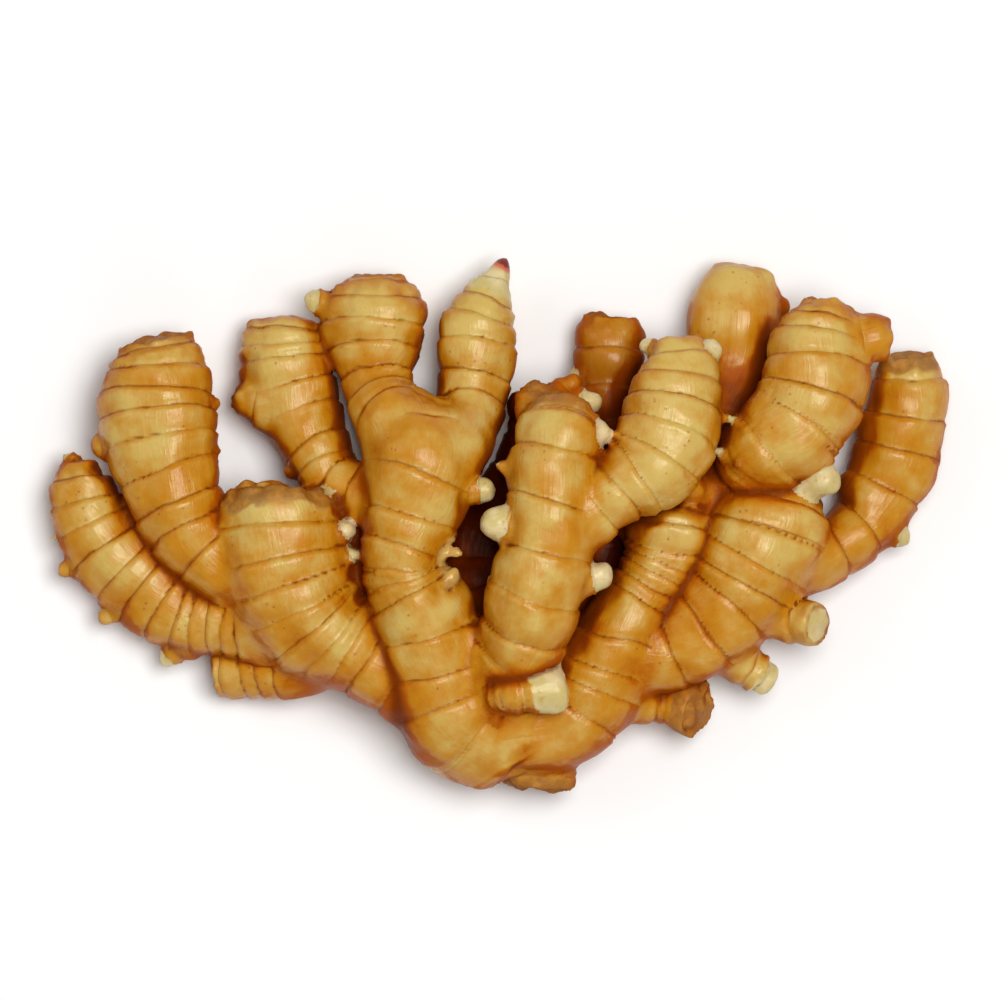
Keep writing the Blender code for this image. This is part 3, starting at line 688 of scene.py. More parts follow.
    def loft(self) -> bpy.types.Mesh:
        """Lofts every stem as a closed shape.

        Returns:
            One mesh that holds them all, in metres.
        """
        points: list[np.ndarray] = []
        faces: list[tuple[int, ...]] = []
        start = 0
        sides = self.section_sides
        angle = np.arange(sides) / sides * math.tau
        for stem in self.stems:
            swell = 1 + self.unevenness(stem, angle)
            ring = (
                stem.centre[:, None, :]
                + stem.across[:, None, :] * (np.cos(angle) * stem.half[:, :1] * swell)[:, :, None]
                + stem.upward[:, None, :] * (np.sin(angle) * stem.half[:, 1:] * swell)[:, :, None]
            )
            count = len(stem.centre)
            points.append(ring.reshape(-1, 3))
            points.append(stem.centre[-1:] + stem.heading[-1:] * 0.05)
            for i in range(count - 1):
                for j in range(sides):
                    k = (j + 1) % sides
                    low, high = start + i * sides, start + (i + 1) * sides
                    faces.append((low + j, low + k, high + k, high + j))
            last = start + (count - 1) * sides
            faces.extend((last + j, last + (j + 1) % sides, start + count * sides) for j in range(sides))
            faces.append(tuple(start + j for j in reversed(range(sides))))
            start += count * sides + 1
        mesh = bpy.data.meshes.new(PIECE)
        mesh.from_pydata((np.vstack(points) * MM).tolist(), [], faces)
        return mesh

    def unevenness(self, stem: Stem, angle: np.ndarray) -> np.ndarray:
        """How much each section strays from a true ellipse.

        Args:
            stem: the stem.
            angle: the angles of its corners.

        Returns:
            A share of the half size for each place and angle.
        """
        if stem.is_bud:
            return np.zeros((len(stem.run), len(angle)))
        dice = np.random.default_rng(stem.seed + 11)
        shift = dice.uniform(0, math.tau, len(SWELLS) + 2)
        run, turn = stem.run[:, None], angle[None, :]
        swell = sum(
            share * np.sin(waves * turn + run / length + shift[i])
            for i, (share, waves, length) in enumerate(SWELLS)
        )
        return swell + BEND_SWELL * np.sin(run / BEND_LENGTH + shift[3]) * np.sin(turn + shift[4])

    def fuse(self, mesh: bpy.types.Mesh, grain: float) -> bpy.types.Object:
        """Fuses the lofts into one closed skin.

        Args:
            mesh: the lofts.
            grain: size of the cells that fuse them, in millimetres.

        Returns:
            The fused object, linked to the scene.
        """
        obj = bpy.data.objects.new(PIECE, mesh)
        bpy.context.scene.collection.objects.link(obj)
        modifier = obj.modifiers.new("Fuse stems", "REMESH")
        modifier.mode = "VOXEL"
        modifier.voxel_size = grain * MM
        bpy.context.view_layer.update()
        graph = bpy.context.evaluated_depsgraph_get()
        fused = bpy.data.meshes.new_from_object(obj.evaluated_get(graph))
        obj.modifiers.clear()
        obj.data = fused
        bpy.data.meshes.remove(mesh)
        drop_crumbs(fused)
        return obj


def drop_crumbs(mesh: bpy.types.Mesh) -> None:
    """Takes away every loose bit of the mesh but the largest.

    Args:
        mesh: the mesh.
    """
    edges = read_edges(mesh)
    group = np.arange(len(mesh.vertices))
    while True:
        lower = group.copy()
        least = np.minimum(group[edges[:, 0]], group[edges[:, 1]])
        np.minimum.at(lower, edges[:, 0], least)
        np.minimum.at(lower, edges[:, 1], least)
        lower = lower[lower]
        if np.array_equal(lower, group):
            break
        group = lower
    loose = np.nonzero(group != np.bincount(group).argmax())[0]
    LOG.info("crumbs taken away: %d points", len(loose))
    if not len(loose):
        return
    soup = bmesh.new()
    soup.from_mesh(mesh)
    soup.verts.ensure_lookup_table()
    bmesh.ops.delete(soup, geom=[soup.verts[i] for i in loose], context="VERTS")
    soup.to_mesh(mesh)
    soup.free()


def read_points(mesh: bpy.types.Mesh) -> np.ndarray:
    """The mesh's points, in millimetres."""
    flat = np.empty(len(mesh.vertices) * 3, np.float32)
    mesh.vertices.foreach_get("co", flat)
    return flat.reshape(-1, 3).astype(np.float64) / MM


def write_points(mesh: bpy.types.Mesh, points: np.ndarray) -> None:
    """Puts points, in millimetres, back into the mesh."""
    mesh.vertices.foreach_set("co", (points * MM).astype(np.float32).ravel())
    mesh.update()


def read_normals(mesh: bpy.types.Mesh) -> np.ndarray:
    """The direction that each point of the mesh faces."""
    flat = np.empty(len(mesh.vertices) * 3, np.float32)
    mesh.vertex_normals.foreach_get("vector", flat)
    return flat.reshape(-1, 3).astype(np.float64)


def read_edges(mesh: bpy.types.Mesh) -> np.ndarray:
    """The two points of each edge."""
    flat = np.empty(len(mesh.edges) * 2, np.int32)
    mesh.edges.foreach_get("vertices", flat)
    return flat.reshape(-1, 2)


def perlin(points: np.ndarray, wavelength: float, seed: float) -> np.ndarray:
    """Smooth noise from -1 to 1.

    Args:
        points: where, in millimetres.
        wavelength: size of the noise's lumps, in millimetres.
        seed: moves the noise.

    Returns:
        The noise at each point.
    """
    spots = points / wavelength + seed
    return np.fromiter((noise.noise(Vector(p)) for p in spots), float, len(spots))


def step_up(value: np.ndarray, low: float, high: float) -> np.ndarray:
    """0 under low and 1 over high, with a smooth rise between."""
    t = np.clip((value - low) / (high - low), 0.0, 1.0)
    return t * t * (3 - 2 * t)


@dataclass
class Skin:
    """Softens the fused skin, cuts its rings and scars and records what the finish needs.

    Attributes:
        root: the rhizome that it covers.
        obj: the fused object.
        grain: size of the mesh's cells, in millimetres.
        kin_softness: how wide a limb's root blends into its parent, in millimetres.
        kin_reach: how far along a limb that blend reaches, in millimetres.
        bud_softness: how wide a bud's root blends into its limb, in millimetres.
        sibling_softness: how wide two limbs of one parent blend, in millimetres.
        touch_softness: how wide the crease is where two limbs only touch, in millimetres.
        touch_reach: how far the softening of a crease reaches, in millimetres.
        joint_reach: how far that of a joint reaches, in millimetres.
        ring_depth: depth of the groove on each ring, in millimetres.
        ring_width: half width of that groove, in millimetres.
        collar: height of the ridge just short of each ring, in millimetres.
        collar_at: how far short of the ring its top is, in millimetres.
        collar_width: half width of the ridge, in millimetres.
        collar_rag: how ragged it is, as a share of its height.
        swell: how far the skin swells between two rings, in millimetres.
        full_swell: length of the internodes that swell so far, in millimetres.
        bud_relief: relief on a bud as a share of that on a limb.
        lumps: (height, size, seed) of the skin's lumps, in millimetres.
        coarse_noise: (size, seed) of the noise that makes an end ragged, in millimetres.
        fine_noise: the same of the finer noise.
        pull: how strongly one round of softening draws a point towards its neighbours.
        crater: depth of the hollow in a scarred tip, in millimetres.
        crater_rim: height of its ragged rim, in millimetres.
        end_blend: how far past its reach an end's relief fades, in millimetres.
        worn: (coarse, fine) roughness of a worn end, in millimetres.
        fresh: the same of a fresh end.
        cut: the same of a cut end.
        gilt: the same of the golden nub.
        cut_depth: how far a cut end is sunk, in millimetres.
        sheath: height of the torn sheath round a bud, in millimetres.
        sheath_width: half width of that sheath, in millimetres.
        pale_blend: half width of the edge of a bud's pale end, in millimetres.
        pink_reach: where the shoot's pink starts to fade and where it ends, in millimetres from its tip.
        lift_reach: the same for the painted light that a limb's end gets, however deep its root lies.
        crease_reach: how far round a point is looked for a crease to paint shade in, in millimetres.
        hollow_reach: the same for a hollow.
        short_stem: length under which the painted shade in a stem's creases is only half as dark, in
            millimetres.
        tint_blend: how wide one limb's tint fades into the next one's, in millimetres.
        rays: how many directions are looked in to find how sheltered a point is.
        ray_reach: how far is looked, in millimetres.
    """

    root: Rhizome
    obj: bpy.types.Object
    grain: float
    kin_softness: float = 3.6
    kin_reach: float = 9.0
    bud_softness: float = 1.3
    sibling_softness: float = 1.8
    touch_softness: float = 0.8
    touch_reach: float = 1.2
    joint_reach: float = 2.6
    ring_depth: float = 0.22
    ring_width: float = 0.60
    collar: float = 0.26
    collar_at: float = 0.95
    collar_width: float = 0.62
    collar_rag: float = 0.5
    swell: float = 0.60
    full_swell: float = 8.0
    bud_relief: float = 0.25
    lumps: tuple[tuple[float, float, float], ...] = (
        (1.1, 16.0, 3.7),
        (0.65, 7.0, 11.3),
        (0.10, 2.8, 17.9),
    )
    coarse_noise: tuple[float, float] = (4.4, 5.2)
    fine_noise: tuple[float, float] = (2.4, 9.1)
    pull: float = 0.6
    crater: float = 1.3
    crater_rim: float = 0.45
    end_blend: float = 3.0
    worn: tuple[float, float] = (0.6, 0.35)
    fresh: tuple[float, float] = (0.4, 0.25)
    cut: tuple[float, float] = (0.6, 0.4)
    gilt: tuple[float, float] = (1.6, 1.2)
    cut_depth: float = 0.6
    sheath: float = 0.40
    sheath_width: float = 0.4
    pale_blend: float = 0.35
    pink_reach: tuple[float, float] = (2.0, 4.6)
    lift_reach: tuple[float, float] = (5.0, 16.0)
    crease_reach: float = 1.0
    hollow_reach: float = 3.0
    short_stem: float = 26.0
    tint_blend: float = 1.2
    rays: int = 26
    ray_reach: float = 22.0

    def rounds(self, reach: float) -> int:
        """How many rounds of softening reach so far, in millimetres."""
        return max(2, round(3.3 * (reach / self.grain) ** 2))

    def gaps(self, points: np.ndarray) -> np.ndarray:
        """Signed distance from every point to every stem near it.

        Args:
            points: the points, in millimetres.

        Returns:
            A table with a row for each point and a column for each stem, FAR where it isn't near.
        """
        table = np.full((len(points), len(self.root.stems)), FAR, np.float32)
        for i, stem in enumerate(self.root.stems):
            margin = stem.half.max() + 5.0
            low, high = stem.centre.min(0) - margin, stem.centre.max(0) + margin
            near = np.nonzero(((points > low) & (points < high)).all(1))[0]
            if len(near):
                table[near, i] = stem.place(points[near]).distance
        return table

    def kinship(self) -> np.ndarray:
        """How wide the crease between each two stems is softened, in millimetres."""
        stems = self.root.stems
        table = np.full((len(stems), len(stems)), self.touch_softness)
        for i, stem in enumerate(stems):
            if stem.parent < 0:
                continue
            if stem.is_bud:
                table[i, stem.parent] = table[stem.parent, i] = self.bud_softness
                continue
            for j, other in enumerate(stems):
                if other.parent == stem.parent and not other.is_bud and i != j:
                    table[i, j] = table[j, i] = self.sibling_softness
        return table

    def rootness(self, points: np.ndarray, table: np.ndarray, own: np.ndarray) -> np.ndarray:
        """How near each point is to where one limb grows out of another.

        Args:
            points: the points, in millimetres.
            table: signed distance from every point to every stem.
            own: the stem that each point belongs to.

        Returns:
            1 where a limb leaves its parent, falling to 0 away from there and further along the limb.
        """
        result = np.zeros(len(points))
        for i, stem in enumerate(self.root.stems):
            if stem.parent < 0 or stem.is_bud:
                continue
            pair = (own == i) & (table[:, stem.parent] < self.kin_softness)
            pair |= (own == stem.parent) & (table[:, i] < self.kin_softness)
            near = np.nonzero(pair)[0]
            if not len(near):
                continue
            inside = self.root.stems[stem.parent].place(stem.centre).distance < 0
            leaves = stem.run[inside].max() if inside.any() else 0.0
            along = 1 - step_up(stem.place(points[near]).run, leaves + 2.0, leaves + self.kin_reach)
            along *= stem.joint
            gap = np.where(own[near] == i, table[near, stem.parent], table[near, i])
            result[near] = np.maximum(result[near], along * (1 - np.maximum(gap, 0) / self.kin_softness))
        return result

    def soften(self, points: np.ndarray, edges: np.ndarray, weight: np.ndarray, rounds: int) -> np.ndarray:
        """Draws each point towards its neighbours.

        Args:
            points: the points, in millimetres.
            edges: the mesh's edges.
            weight: how strongly each point is drawn, 0 to 1.
            rounds: how many times.

        Returns:
            The softened points.
        """
        count = len(points)
        ends = np.concatenate([edges[:, 0], edges[:, 1]])
        others = np.concatenate([edges[:, 1], edges[:, 0]])
        degree = np.bincount(ends, minlength=count)
        for _ in range(rounds):
            mean = np.stack(
                [np.bincount(ends, weights=points[others, i], minlength=count) / degree for i in range(3)], 1
            )
            points = points + (mean - points) * weight[:, None]
        return points

    def shelter(self, points: np.ndarray, normals: np.ndarray) -> np.ndarray:
        """How much of the view from each point the rest of the root takes up, which deepens the painted
        shade in pits.

        Args:
            points: the points, in millimetres.
            normals: the direction that each point faces.

        Returns:
            0 in the open, 1 in a closed pit.
        """
        bpy.context.view_layer.update()
        tree = BVHTree.FromObject(self.obj, bpy.context.evaluated_depsgraph_get())
        starts = [Vector(p) for p in (points + 0.3 * normals) * MM]
        turn = math.pi * (3 - math.sqrt(5))
        met, cast = np.zeros(len(points)), np.full(len(points), 1e-6)
        for i in range(self.rays):
            rise = 1 - 2 * (i + 0.5) / self.rays
            flat = math.sqrt(1 - rise * rise)
            way = Vector((math.cos(turn * i) * flat, math.sin(turn * i) * flat, rise))
            lean = normals @ np.array(way)
            open_to = np.nonzero(lean > 0.2)[0]
            hits = [tree.ray_cast(starts[k], way, self.ray_reach * MM)[0] is not None for k in open_to]
            cast[open_to] += lean[open_to]
            met[open_to] += lean[open_to] * np.array(hits, float)
        return met / cast

    def smooth_creases(self, points: np.ndarray, edges: np.ndarray) -> np.ndarray:
        """Softens the skin where stems touch, and more where a limb grows out of another.

        Args:
            points: the points as fused, in millimetres.
            edges: the mesh's edges.

        Returns:
            The softened points.
        """
        points = self.soften(points, edges, np.full(len(points), 0.5), 2)
        table = self.gaps(points)
        own = table.argmin(1)
        closeness = 1 - np.maximum(table, 0) / self.kinship()[own]
        closeness[np.arange(len(points)), own] = 0
        touch = np.clip(closeness.max(1), 0, 1)
        points = self.soften(points, edges, self.pull * touch, self.rounds(self.touch_reach))
        joined = self.rootness(points, table, own)
        return self.soften(points, edges, self.pull * np.sqrt(joined), self.rounds(self.joint_reach))

    def settle(self) -> None:
        """Softens the creases, raises the relief and writes the skin's attributes."""
        mesh = self.obj.data
        edges = read_edges(mesh)
        points = self.smooth_creases(read_points(mesh), edges)
        write_points(mesh, points)
        table = self.gaps(points)
        own = table.argmin(1)
        rest = table.copy()
        rest[np.arange(len(points)), own] = FAR
        joined = self.rootness(points, table, own)
        fade = step_up(rest.min(1), -0.3, 1.0) * (1 - 0.8 * step_up(joined, 0.25, 0.8))
        height, marks = self.relief(points, read_normals(mesh), own, fade)
        marks["clear"] = 1 - 0.6 * step_up(joined, 0.4, 0.9)
        points = points + read_normals(mesh) * height[:, None]
        write_points(mesh, points)
        self.mark_depths(points, edges, table, joined, marks)
        self.record(table, marks)

    def mark_depths(
        self,
        points: np.ndarray,
        edges: np.ndarray,
        table: np.ndarray,
        joined: np.ndarray,
        marks: dict[str, np.ndarray],
    ) -> None:
        """Adds the painted shade of the creases, hollows and pits, the warmth, and each limb's painted shade
        to the marks.

        Args:
            points: the points, in millimetres.
            edges: the mesh's edges.
            table: signed distance from every point to every stem.
            joined: how near each point is to a joint.
            marks: the marks of each point.
        """
        stems = self.root.stems
        own = table.argmin(1)
        rest = table.copy()
        rest[np.arange(len(points)), own] = FAR
        second = rest.min(1)
        normals = read_normals(self.obj.data)
        full = np.full(len(points), self.pull)
        near = self.soften(points, edges, full, self.rounds(self.crease_reach))
        wide = self.soften(near, edges, full, self.rounds(self.hollow_reach))
        # Painted shade in the skin's small creases and grooves, and along limbs that touch without joining,
        # weaker for short stems.
        short = np.array([stem.length < self.short_stem for stem in stems])
        depth = np.where(short[rest.argmin(1)] | short[own], 0.4, 0.9)
        pinch_shade = depth * (1 - step_up(second, 0.1, 2.2)) * (1 - step_up(joined, 0.10, 0.5))
        marks["crease"] = np.maximum(step_up(((near - points) * normals).sum(1), 0.12, 0.50), pinch_shade)
        # Painted shade in the hollows: deep between limbs, next to a near limb, and in pits sheltered by the
        # rest of the root.
        sunk = step_up(((wide - points) * normals).sum(1), -0.55, 1.7)
        beside_shade = (1 - step_up(second, -0.5, 4.5)) * depth * (1 - joined)
        closed = self.soften(self.shelter(points, normals)[:, None].repeat(3, 1), edges, full, 3)[:, 0]
        marks["hollow"] = np.maximum.reduce([sunk, beside_shade, step_up(closed, 0.25, 0.85)])
        share = np.exp(-(np.minimum(table, 30) - table.min(1)[:, None]) / self.tint_blend)
        share /= share.sum(1)[:, None]
        marks["warmth"] += share @ np.array([stem.warmth for stem in stems])
        # Painted shade: each limb's own shade, lifted by painted light towards its end and deepened in
        # sheltered pits.
        shade = share @ np.array([stem.shade for stem in stems])
        shade += (1 - shade) * 0.6 * marks["end_light"] * (1 - step_up(closed, 0.4, 0.8))
        marks["shade"] = shade * (1 - 0.45 * step_up(closed, 0.55, 0.95))

    def relief(
        self, points: np.ndarray, normals: np.ndarray, own: np.ndarray, fade: np.ndarray
    ) -> tuple[np.ndarray, dict[str, np.ndarray]]:
        """Height of the skin's detail at each point, and the marks of the tips.

        Args:
            points: the points, in millimetres.
            normals: the direction that each point faces.
            own: the stem that each point belongs to.
            fade: 0 in a crease and 1 clear of it.

        Returns:
            The height in millimetres, and how much of each tip's finish each point has.
        """
        height = np.zeros(len(points))
        names = ("scar", "pale", "pink", "gold", "warmth", "end_light")
        marks = {name: np.zeros(len(points)) for name in names}
        fine, coarse = perlin(points, *self.fine_noise), perlin(points, *self.coarse_noise)
        for i, stem in enumerate(self.root.stems):
            mine = np.nonzero(own == i)[0]
            if not len(mine):
                continue
            spots = stem.place(points[mine])
            back = stem.length - spots.run
            rough = (coarse[mine], fine[mine])
            end = 1 - step_up(back + 1.6 * rough[0], 0.35 * stem.tip_reach, stem.tip_reach)
            ringed = self.ring_relief(stem, spots, rough[1]) * fade[mine] * (1 - 0.7 * end)
            raised, found = self.end_relief(stem, spots, normals[mine] @ stem.heading[-1], rough, end)
            height[mine] = ringed + raised
            found["warmth"] = stem.root_warmth * np.clip(back / stem.length - 0.35, -0.35, 0.5)
            # Painted light on a limb's end, which rises out of the shade round its root.
            found["end_light"] = 1 - step_up(back, *self.lift_reach)
            for name, values in found.items():
                marks[name][mine] = values
        for tall, broad, seed in self.lumps:
            height += tall * perlin(points, broad, seed)
        return height, marks

    def ring_relief(self, stem: Stem, spots: Spots, fine: np.ndarray) -> np.ndarray:
        """Height of a stem's rings, their collars and the swells between them.

        Args:
            stem: the stem.
            spots: its points.
            fine: fine noise at each point.

        Returns:
            The height at each point, in millimetres.
        """
        phase, gap = stem.phase(spots.run, spots.angle)
        share = phase % 1.0
        before, after = share * gap, (1 - share) * gap
        groove = np.exp(-((np.minimum(before, after) / self.ring_width) ** 2))
        collar = np.exp(-(((after - self.collar_at) / self.collar_width) ** 2))
        collar *= 1 + self.collar_rag * fine
        belly = (np.sin(math.pi * share**1.5) ** 0.8 - 0.5) * np.clip(gap / self.full_swell, 0.2, 1.0)
        ringed = self.collar * collar - self.ring_depth * groove + self.swell * belly
        return ringed * (self.bud_relief if stem.is_bud else 1.0)

    def end_relief(
        self,
        stem: Stem,
        spots: Spots,
        facing: np.ndarray,
        rough: tuple[np.ndarray, np.ndarray],
        end: np.ndarray,
    ) -> tuple[np.ndarray, dict[str, np.ndarray]]:
        """Height of the detail on a stem's end, and its marks.

        Args:
            stem: the stem.
            spots: its points.
            facing: 1 where a point faces along the stem's end, 0 where it faces sideways.
            rough: coarse and fine noise at each point.
            end: 1 on the end, 0 short of it.

        Returns:
            The height at each point in millimetres, and the marks that the end has.
        """
        coarse, fine = rough
        back = stem.length - spots.run
        near_end = 1 - step_up(back, stem.tip_reach, stem.tip_reach + self.end_blend)
        both = 1.2 * coarse + 0.7 * fine
        match stem.tip:
            case Tip.SCAR:
                bowl = step_up(facing, 0.70, 0.94) * near_end
                rim = np.exp(-(((facing - 0.6) / 0.2) ** 2)) * near_end
                size = 0.5 if stem.is_bud else 1.0
                height = self.crater * bowl * (both - 0.6) + self.crater_rim * rim * (0.2 + 2.0 * both)
                browned = end * np.clip((stem.tip_reach - 3.5) / 2.5, 0.2, 1.0)
                return size * height, {"scar": np.maximum(bowl, browned)}
            case Tip.WORN:
                return end * (self.worn[0] * coarse + self.worn[1] * fine), {"scar": 0.35 * end}
            case Tip.FRESH | Tip.SHOOT:
                tears = 0.9 * coarse + 0.5 * np.abs(np.sin(2.5 * spots.angle + stem.seed)) - 0.4
                torn = stem.tip_reach + tears
                sheath = np.exp(-(((back - torn - 0.35) / self.sheath_width) ** 2))
                height = self.sheath * sheath + end * (self.fresh[0] * coarse + self.fresh[1] * fine)
                if stem.tip is Tip.SHOOT:
                    pink = 1 - step_up(back + 0.8 * fine, *self.pink_reach)
                    return 0.35 * height, {"pale": end, "pink": pink}
                blend = self.pale_blend * (1 if stem.is_bud else 4)
                return height, {"pale": 1 - step_up(back, torn - blend, torn + blend)}
            case Tip.CUT:
                disc = step_up(facing, 0.45, 0.75) * near_end
                flesh = step_up(facing + 0.16 * both, 0.62, 0.92) * near_end
                height = disc * (self.cut[0] * coarse + self.cut[1] * fine) - self.cut_depth * disc
                browned = np.maximum(0.55 * end, 0.9 * disc * (1 - flesh))
                return height, {"scar": browned, "pale": flesh * 0.6}
            case Tip.GOLD:
                return end * (self.gilt[0] * coarse + self.gilt[1] * fine), {"gold": end}
            case _:
                return np.zeros(len(end)), {}

    def record(self, table: np.ndarray, marks: dict[str, np.ndarray]) -> None:
        """Writes the attributes that the finish reads.

        Args:
            table: signed distance from every point to every stem.
            marks: the marks of each point.
        """
        mesh = self.obj.data
        points = read_points(mesh)
        corners = np.empty(len(mesh.loops), np.int32)
        mesh.loops.foreach_get("vertex_index", corners)
        starts = np.empty(len(mesh.polygons), np.int32)
        mesh.polygons.foreach_get("loop_start", starts)
        counts = np.diff(np.append(starts, len(corners)))
        owner = np.add.reduceat(np.minimum(table, 20.0)[corners], starts, axis=0).argmin(1)
        corner_owner = np.repeat(owner, counts)
        values = np.zeros((len(corners), 3))
        for i, stem in enumerate(self.root.stems):
            mine = np.nonzero(corner_owner == i)[0]
            if not len(mine):
                continue
            used, back = np.unique(corners[mine], return_inverse=True)
            spots = stem.place(points[used])
            phase, gap = stem.phase(spots.run, spots.angle)
            angle = spots.angle[back]
            # Every corner of a face takes the turn of the face's first corner.
            first = np.zeros(len(corners))
            first[mine] = angle
            lead = np.repeat(first[starts], counts)[mine]
            angle = angle + math.tau * np.round((lead - angle) / math.tau)
            values[mine, 0] = phase[back] + 20 * i
            values[mine, 1] = gap[back]
            values[mine, 2] = angle * spots.size[back]
        self.store("rings", "CORNER", values)
        for name, parts in (
            ("marks", ("crease", "hollow", "clear")),
            ("tips", ("scar", "pale", "pink")),
            ("tints", ("warmth", "shade", "gold")),
        ):
            self.store(name, "POINT", np.stack([marks[part] for part in parts], 1))

    def store(self, name: str, domain: str, values: np.ndarray) -> None:
        """Adds a vector attribute to the mesh."""
        layer = self.obj.data.attributes.new(name, "FLOAT_VECTOR", domain)
        layer.data.foreach_set("vector", values.astype(np.float32).ravel())


class Nodes:
    """Short ways to add and join a material's nodes."""

    def __init__(self, material: bpy.types.Material) -> None:
        """Clears the material's nodes and keeps its tree."""
        material.use_nodes = True
        self.tree = material.node_tree
        self.tree.nodes.clear()

    def add(self, kind: str, **settings: object) -> bpy.types.Node:
        """A new node with its properties set."""
        made = self.tree.nodes.new(kind)
        for name, value in settings.items():
            setattr(made, name, value)
        return made

    def feed(self, socket: bpy.types.NodeSocket, value: object) -> None:
        """Joins or sets an input."""
        if isinstance(value, bpy.types.NodeSocket):
            self.tree.links.new(value, socket)
        else:
            socket.default_value = value

    def math(self, operation: str, *values: object) -> bpy.types.NodeSocket:
        """A Math node's result."""
        made = self.add("ShaderNodeMath", operation=operation)
        for socket, value in zip(made.inputs, values):
            self.feed(socket, value)
        return made.outputs[0]

    def times(self, *values: object) -> bpy.types.NodeSocket:
        """The product of the values."""
        result = values[0]
        for value in values[1:]:
            result = self.math("MULTIPLY", result, value)
        return result

    def sum(self, *values: object) -> bpy.types.NodeSocket:
        """The sum of the values."""
        result = values[0]
        for value in values[1:]:
            result = self.math("ADD", result, value)
        return result

    def ramp(self, value: object, low: float, high: float, start: float = 0.0, end: float = 1.0) -> object:
        """A smooth rise from start to end as the value goes from low to high."""
        made = self.add("ShaderNodeMapRange", interpolation_type="SMOOTHSTEP")
        for socket, given in zip(made.inputs, (value, low, high, start, end)):
            self.feed(socket, given)
        return made.outputs[0]

    def mix(self, share: object, first: object, second: object) -> bpy.types.NodeSocket:
        """A mix of two colours."""
        made = self.add("ShaderNodeMix", data_type="RGBA")
        self.feed(made.inputs[0], share)
        self.feed(made.inputs[6], first)
        self.feed(made.inputs[7], second)
        return made.outputs[2]

    def noise(self, vector: object, scale: float, detail: float = 2.0, rough: float = 0.5) -> object:
        """A Noise node's factor, less its middle value."""
        made = self.add("ShaderNodeTexNoise")
        self.feed(made.inputs["Vector"], vector)
        self.feed(made.inputs["Scale"], scale)
        self.feed(made.inputs["Detail"], detail)
        self.feed(made.inputs["Roughness"], rough)
        return self.math("SUBTRACT", made.outputs["Fac"], 0.5)

    def chance(self, number: object) -> bpy.types.NodeSocket:
        """A value from 0 to 1 that follows from a number."""
        made = self.add("ShaderNodeTexWhiteNoise", noise_dimensions="1D")
        self.feed(made.inputs["W"], number)
        return made.outputs["Value"]

    def split(self, name: str) -> tuple[bpy.types.NodeSocket, ...]:
        """The three parts of a vector attribute."""
        source = self.add("ShaderNodeAttribute", attribute_name=name)
        parts = self.add("ShaderNodeSeparateXYZ")
        self.feed(parts.inputs[0], source.outputs["Vector"])
        return tuple(parts.outputs)

    def join(self, x: object, y: object, z: object) -> bpy.types.NodeSocket:
        """A vector of three parts."""
        made = self.add("ShaderNodeCombineXYZ")
        for socket, value in zip(made.inputs, (x, y, z)):
            self.feed(socket, value)
        return made.outputs[0]

    def shade(self, values: dict[str, object]) -> None:
        """Ends the material with a Principled shader that has these inputs."""
        shader = self.add("ShaderNodeBsdfPrincipled")
        for name, value in values.items():
            self.feed(shader.inputs[name], value)
        out = self.add("ShaderNodeOutputMaterial")
        self.feed(out.inputs["Surface"], shader.outputs[0])


Colour = tuple[float, float, float, float]


@dataclass(frozen=True)
class Patterns:
    """How fine each pattern of the skin is, in lumps per metre.

    Attributes:
        clouds: broad clouds of warmer skin.
        mottle: smaller patches of it.
        stray: the wander of a ring's line.
        patches: where a line is strong or weak.
        dots: brown specks.
        dot_patches: where there are specks.
        grain: the mottle of a scar.
        flakes: dry flakes on a scar or a bud.
        bud_clouds: the greener patches of a bud.
        bud_grain: the relief of a bud.
        pores: the finest relief.
    """

    clouds: float = 38.0
    mottle: float = 150.0
    stray: float = 330.0
    patches: float = 75.0
    dots: float = 480.0
    dot_patches: float = 90.0
    grain: float = 300.0
    flakes: float = 480.0
    bud_clouds: float = 170.0
    bud_grain: float = 260.0
    pores: float = 1300.0


@dataclass(frozen=True)
class Tone:
    """How much each thing makes the skin warmer; the hollows and the flanks paint shade.

    Attributes:
        limb: the limb's own warmth.
        clouds: the broad clouds.
        mottle: the smaller patches.
        internode: chance, from one internode to the next.
        fibre: the fibres along the limb.
        hollow: painted shade deep between the limbs.
        halo: nearness to the next ring.
        lip: nearness to the ring before.
        flank: painted shade where the skin faces away from the light above.
        even: everywhere.
    """

    limb: float = 0.55
    clouds: float = 1.7
    mottle: float = 1.6
    internode: float = 0.26
    fibre: float = 0.20
    hollow: float = 1.25
    halo: float = 0.34
    lip: float = -0.18
    flank: float = 0.78
    even: float = -0.04


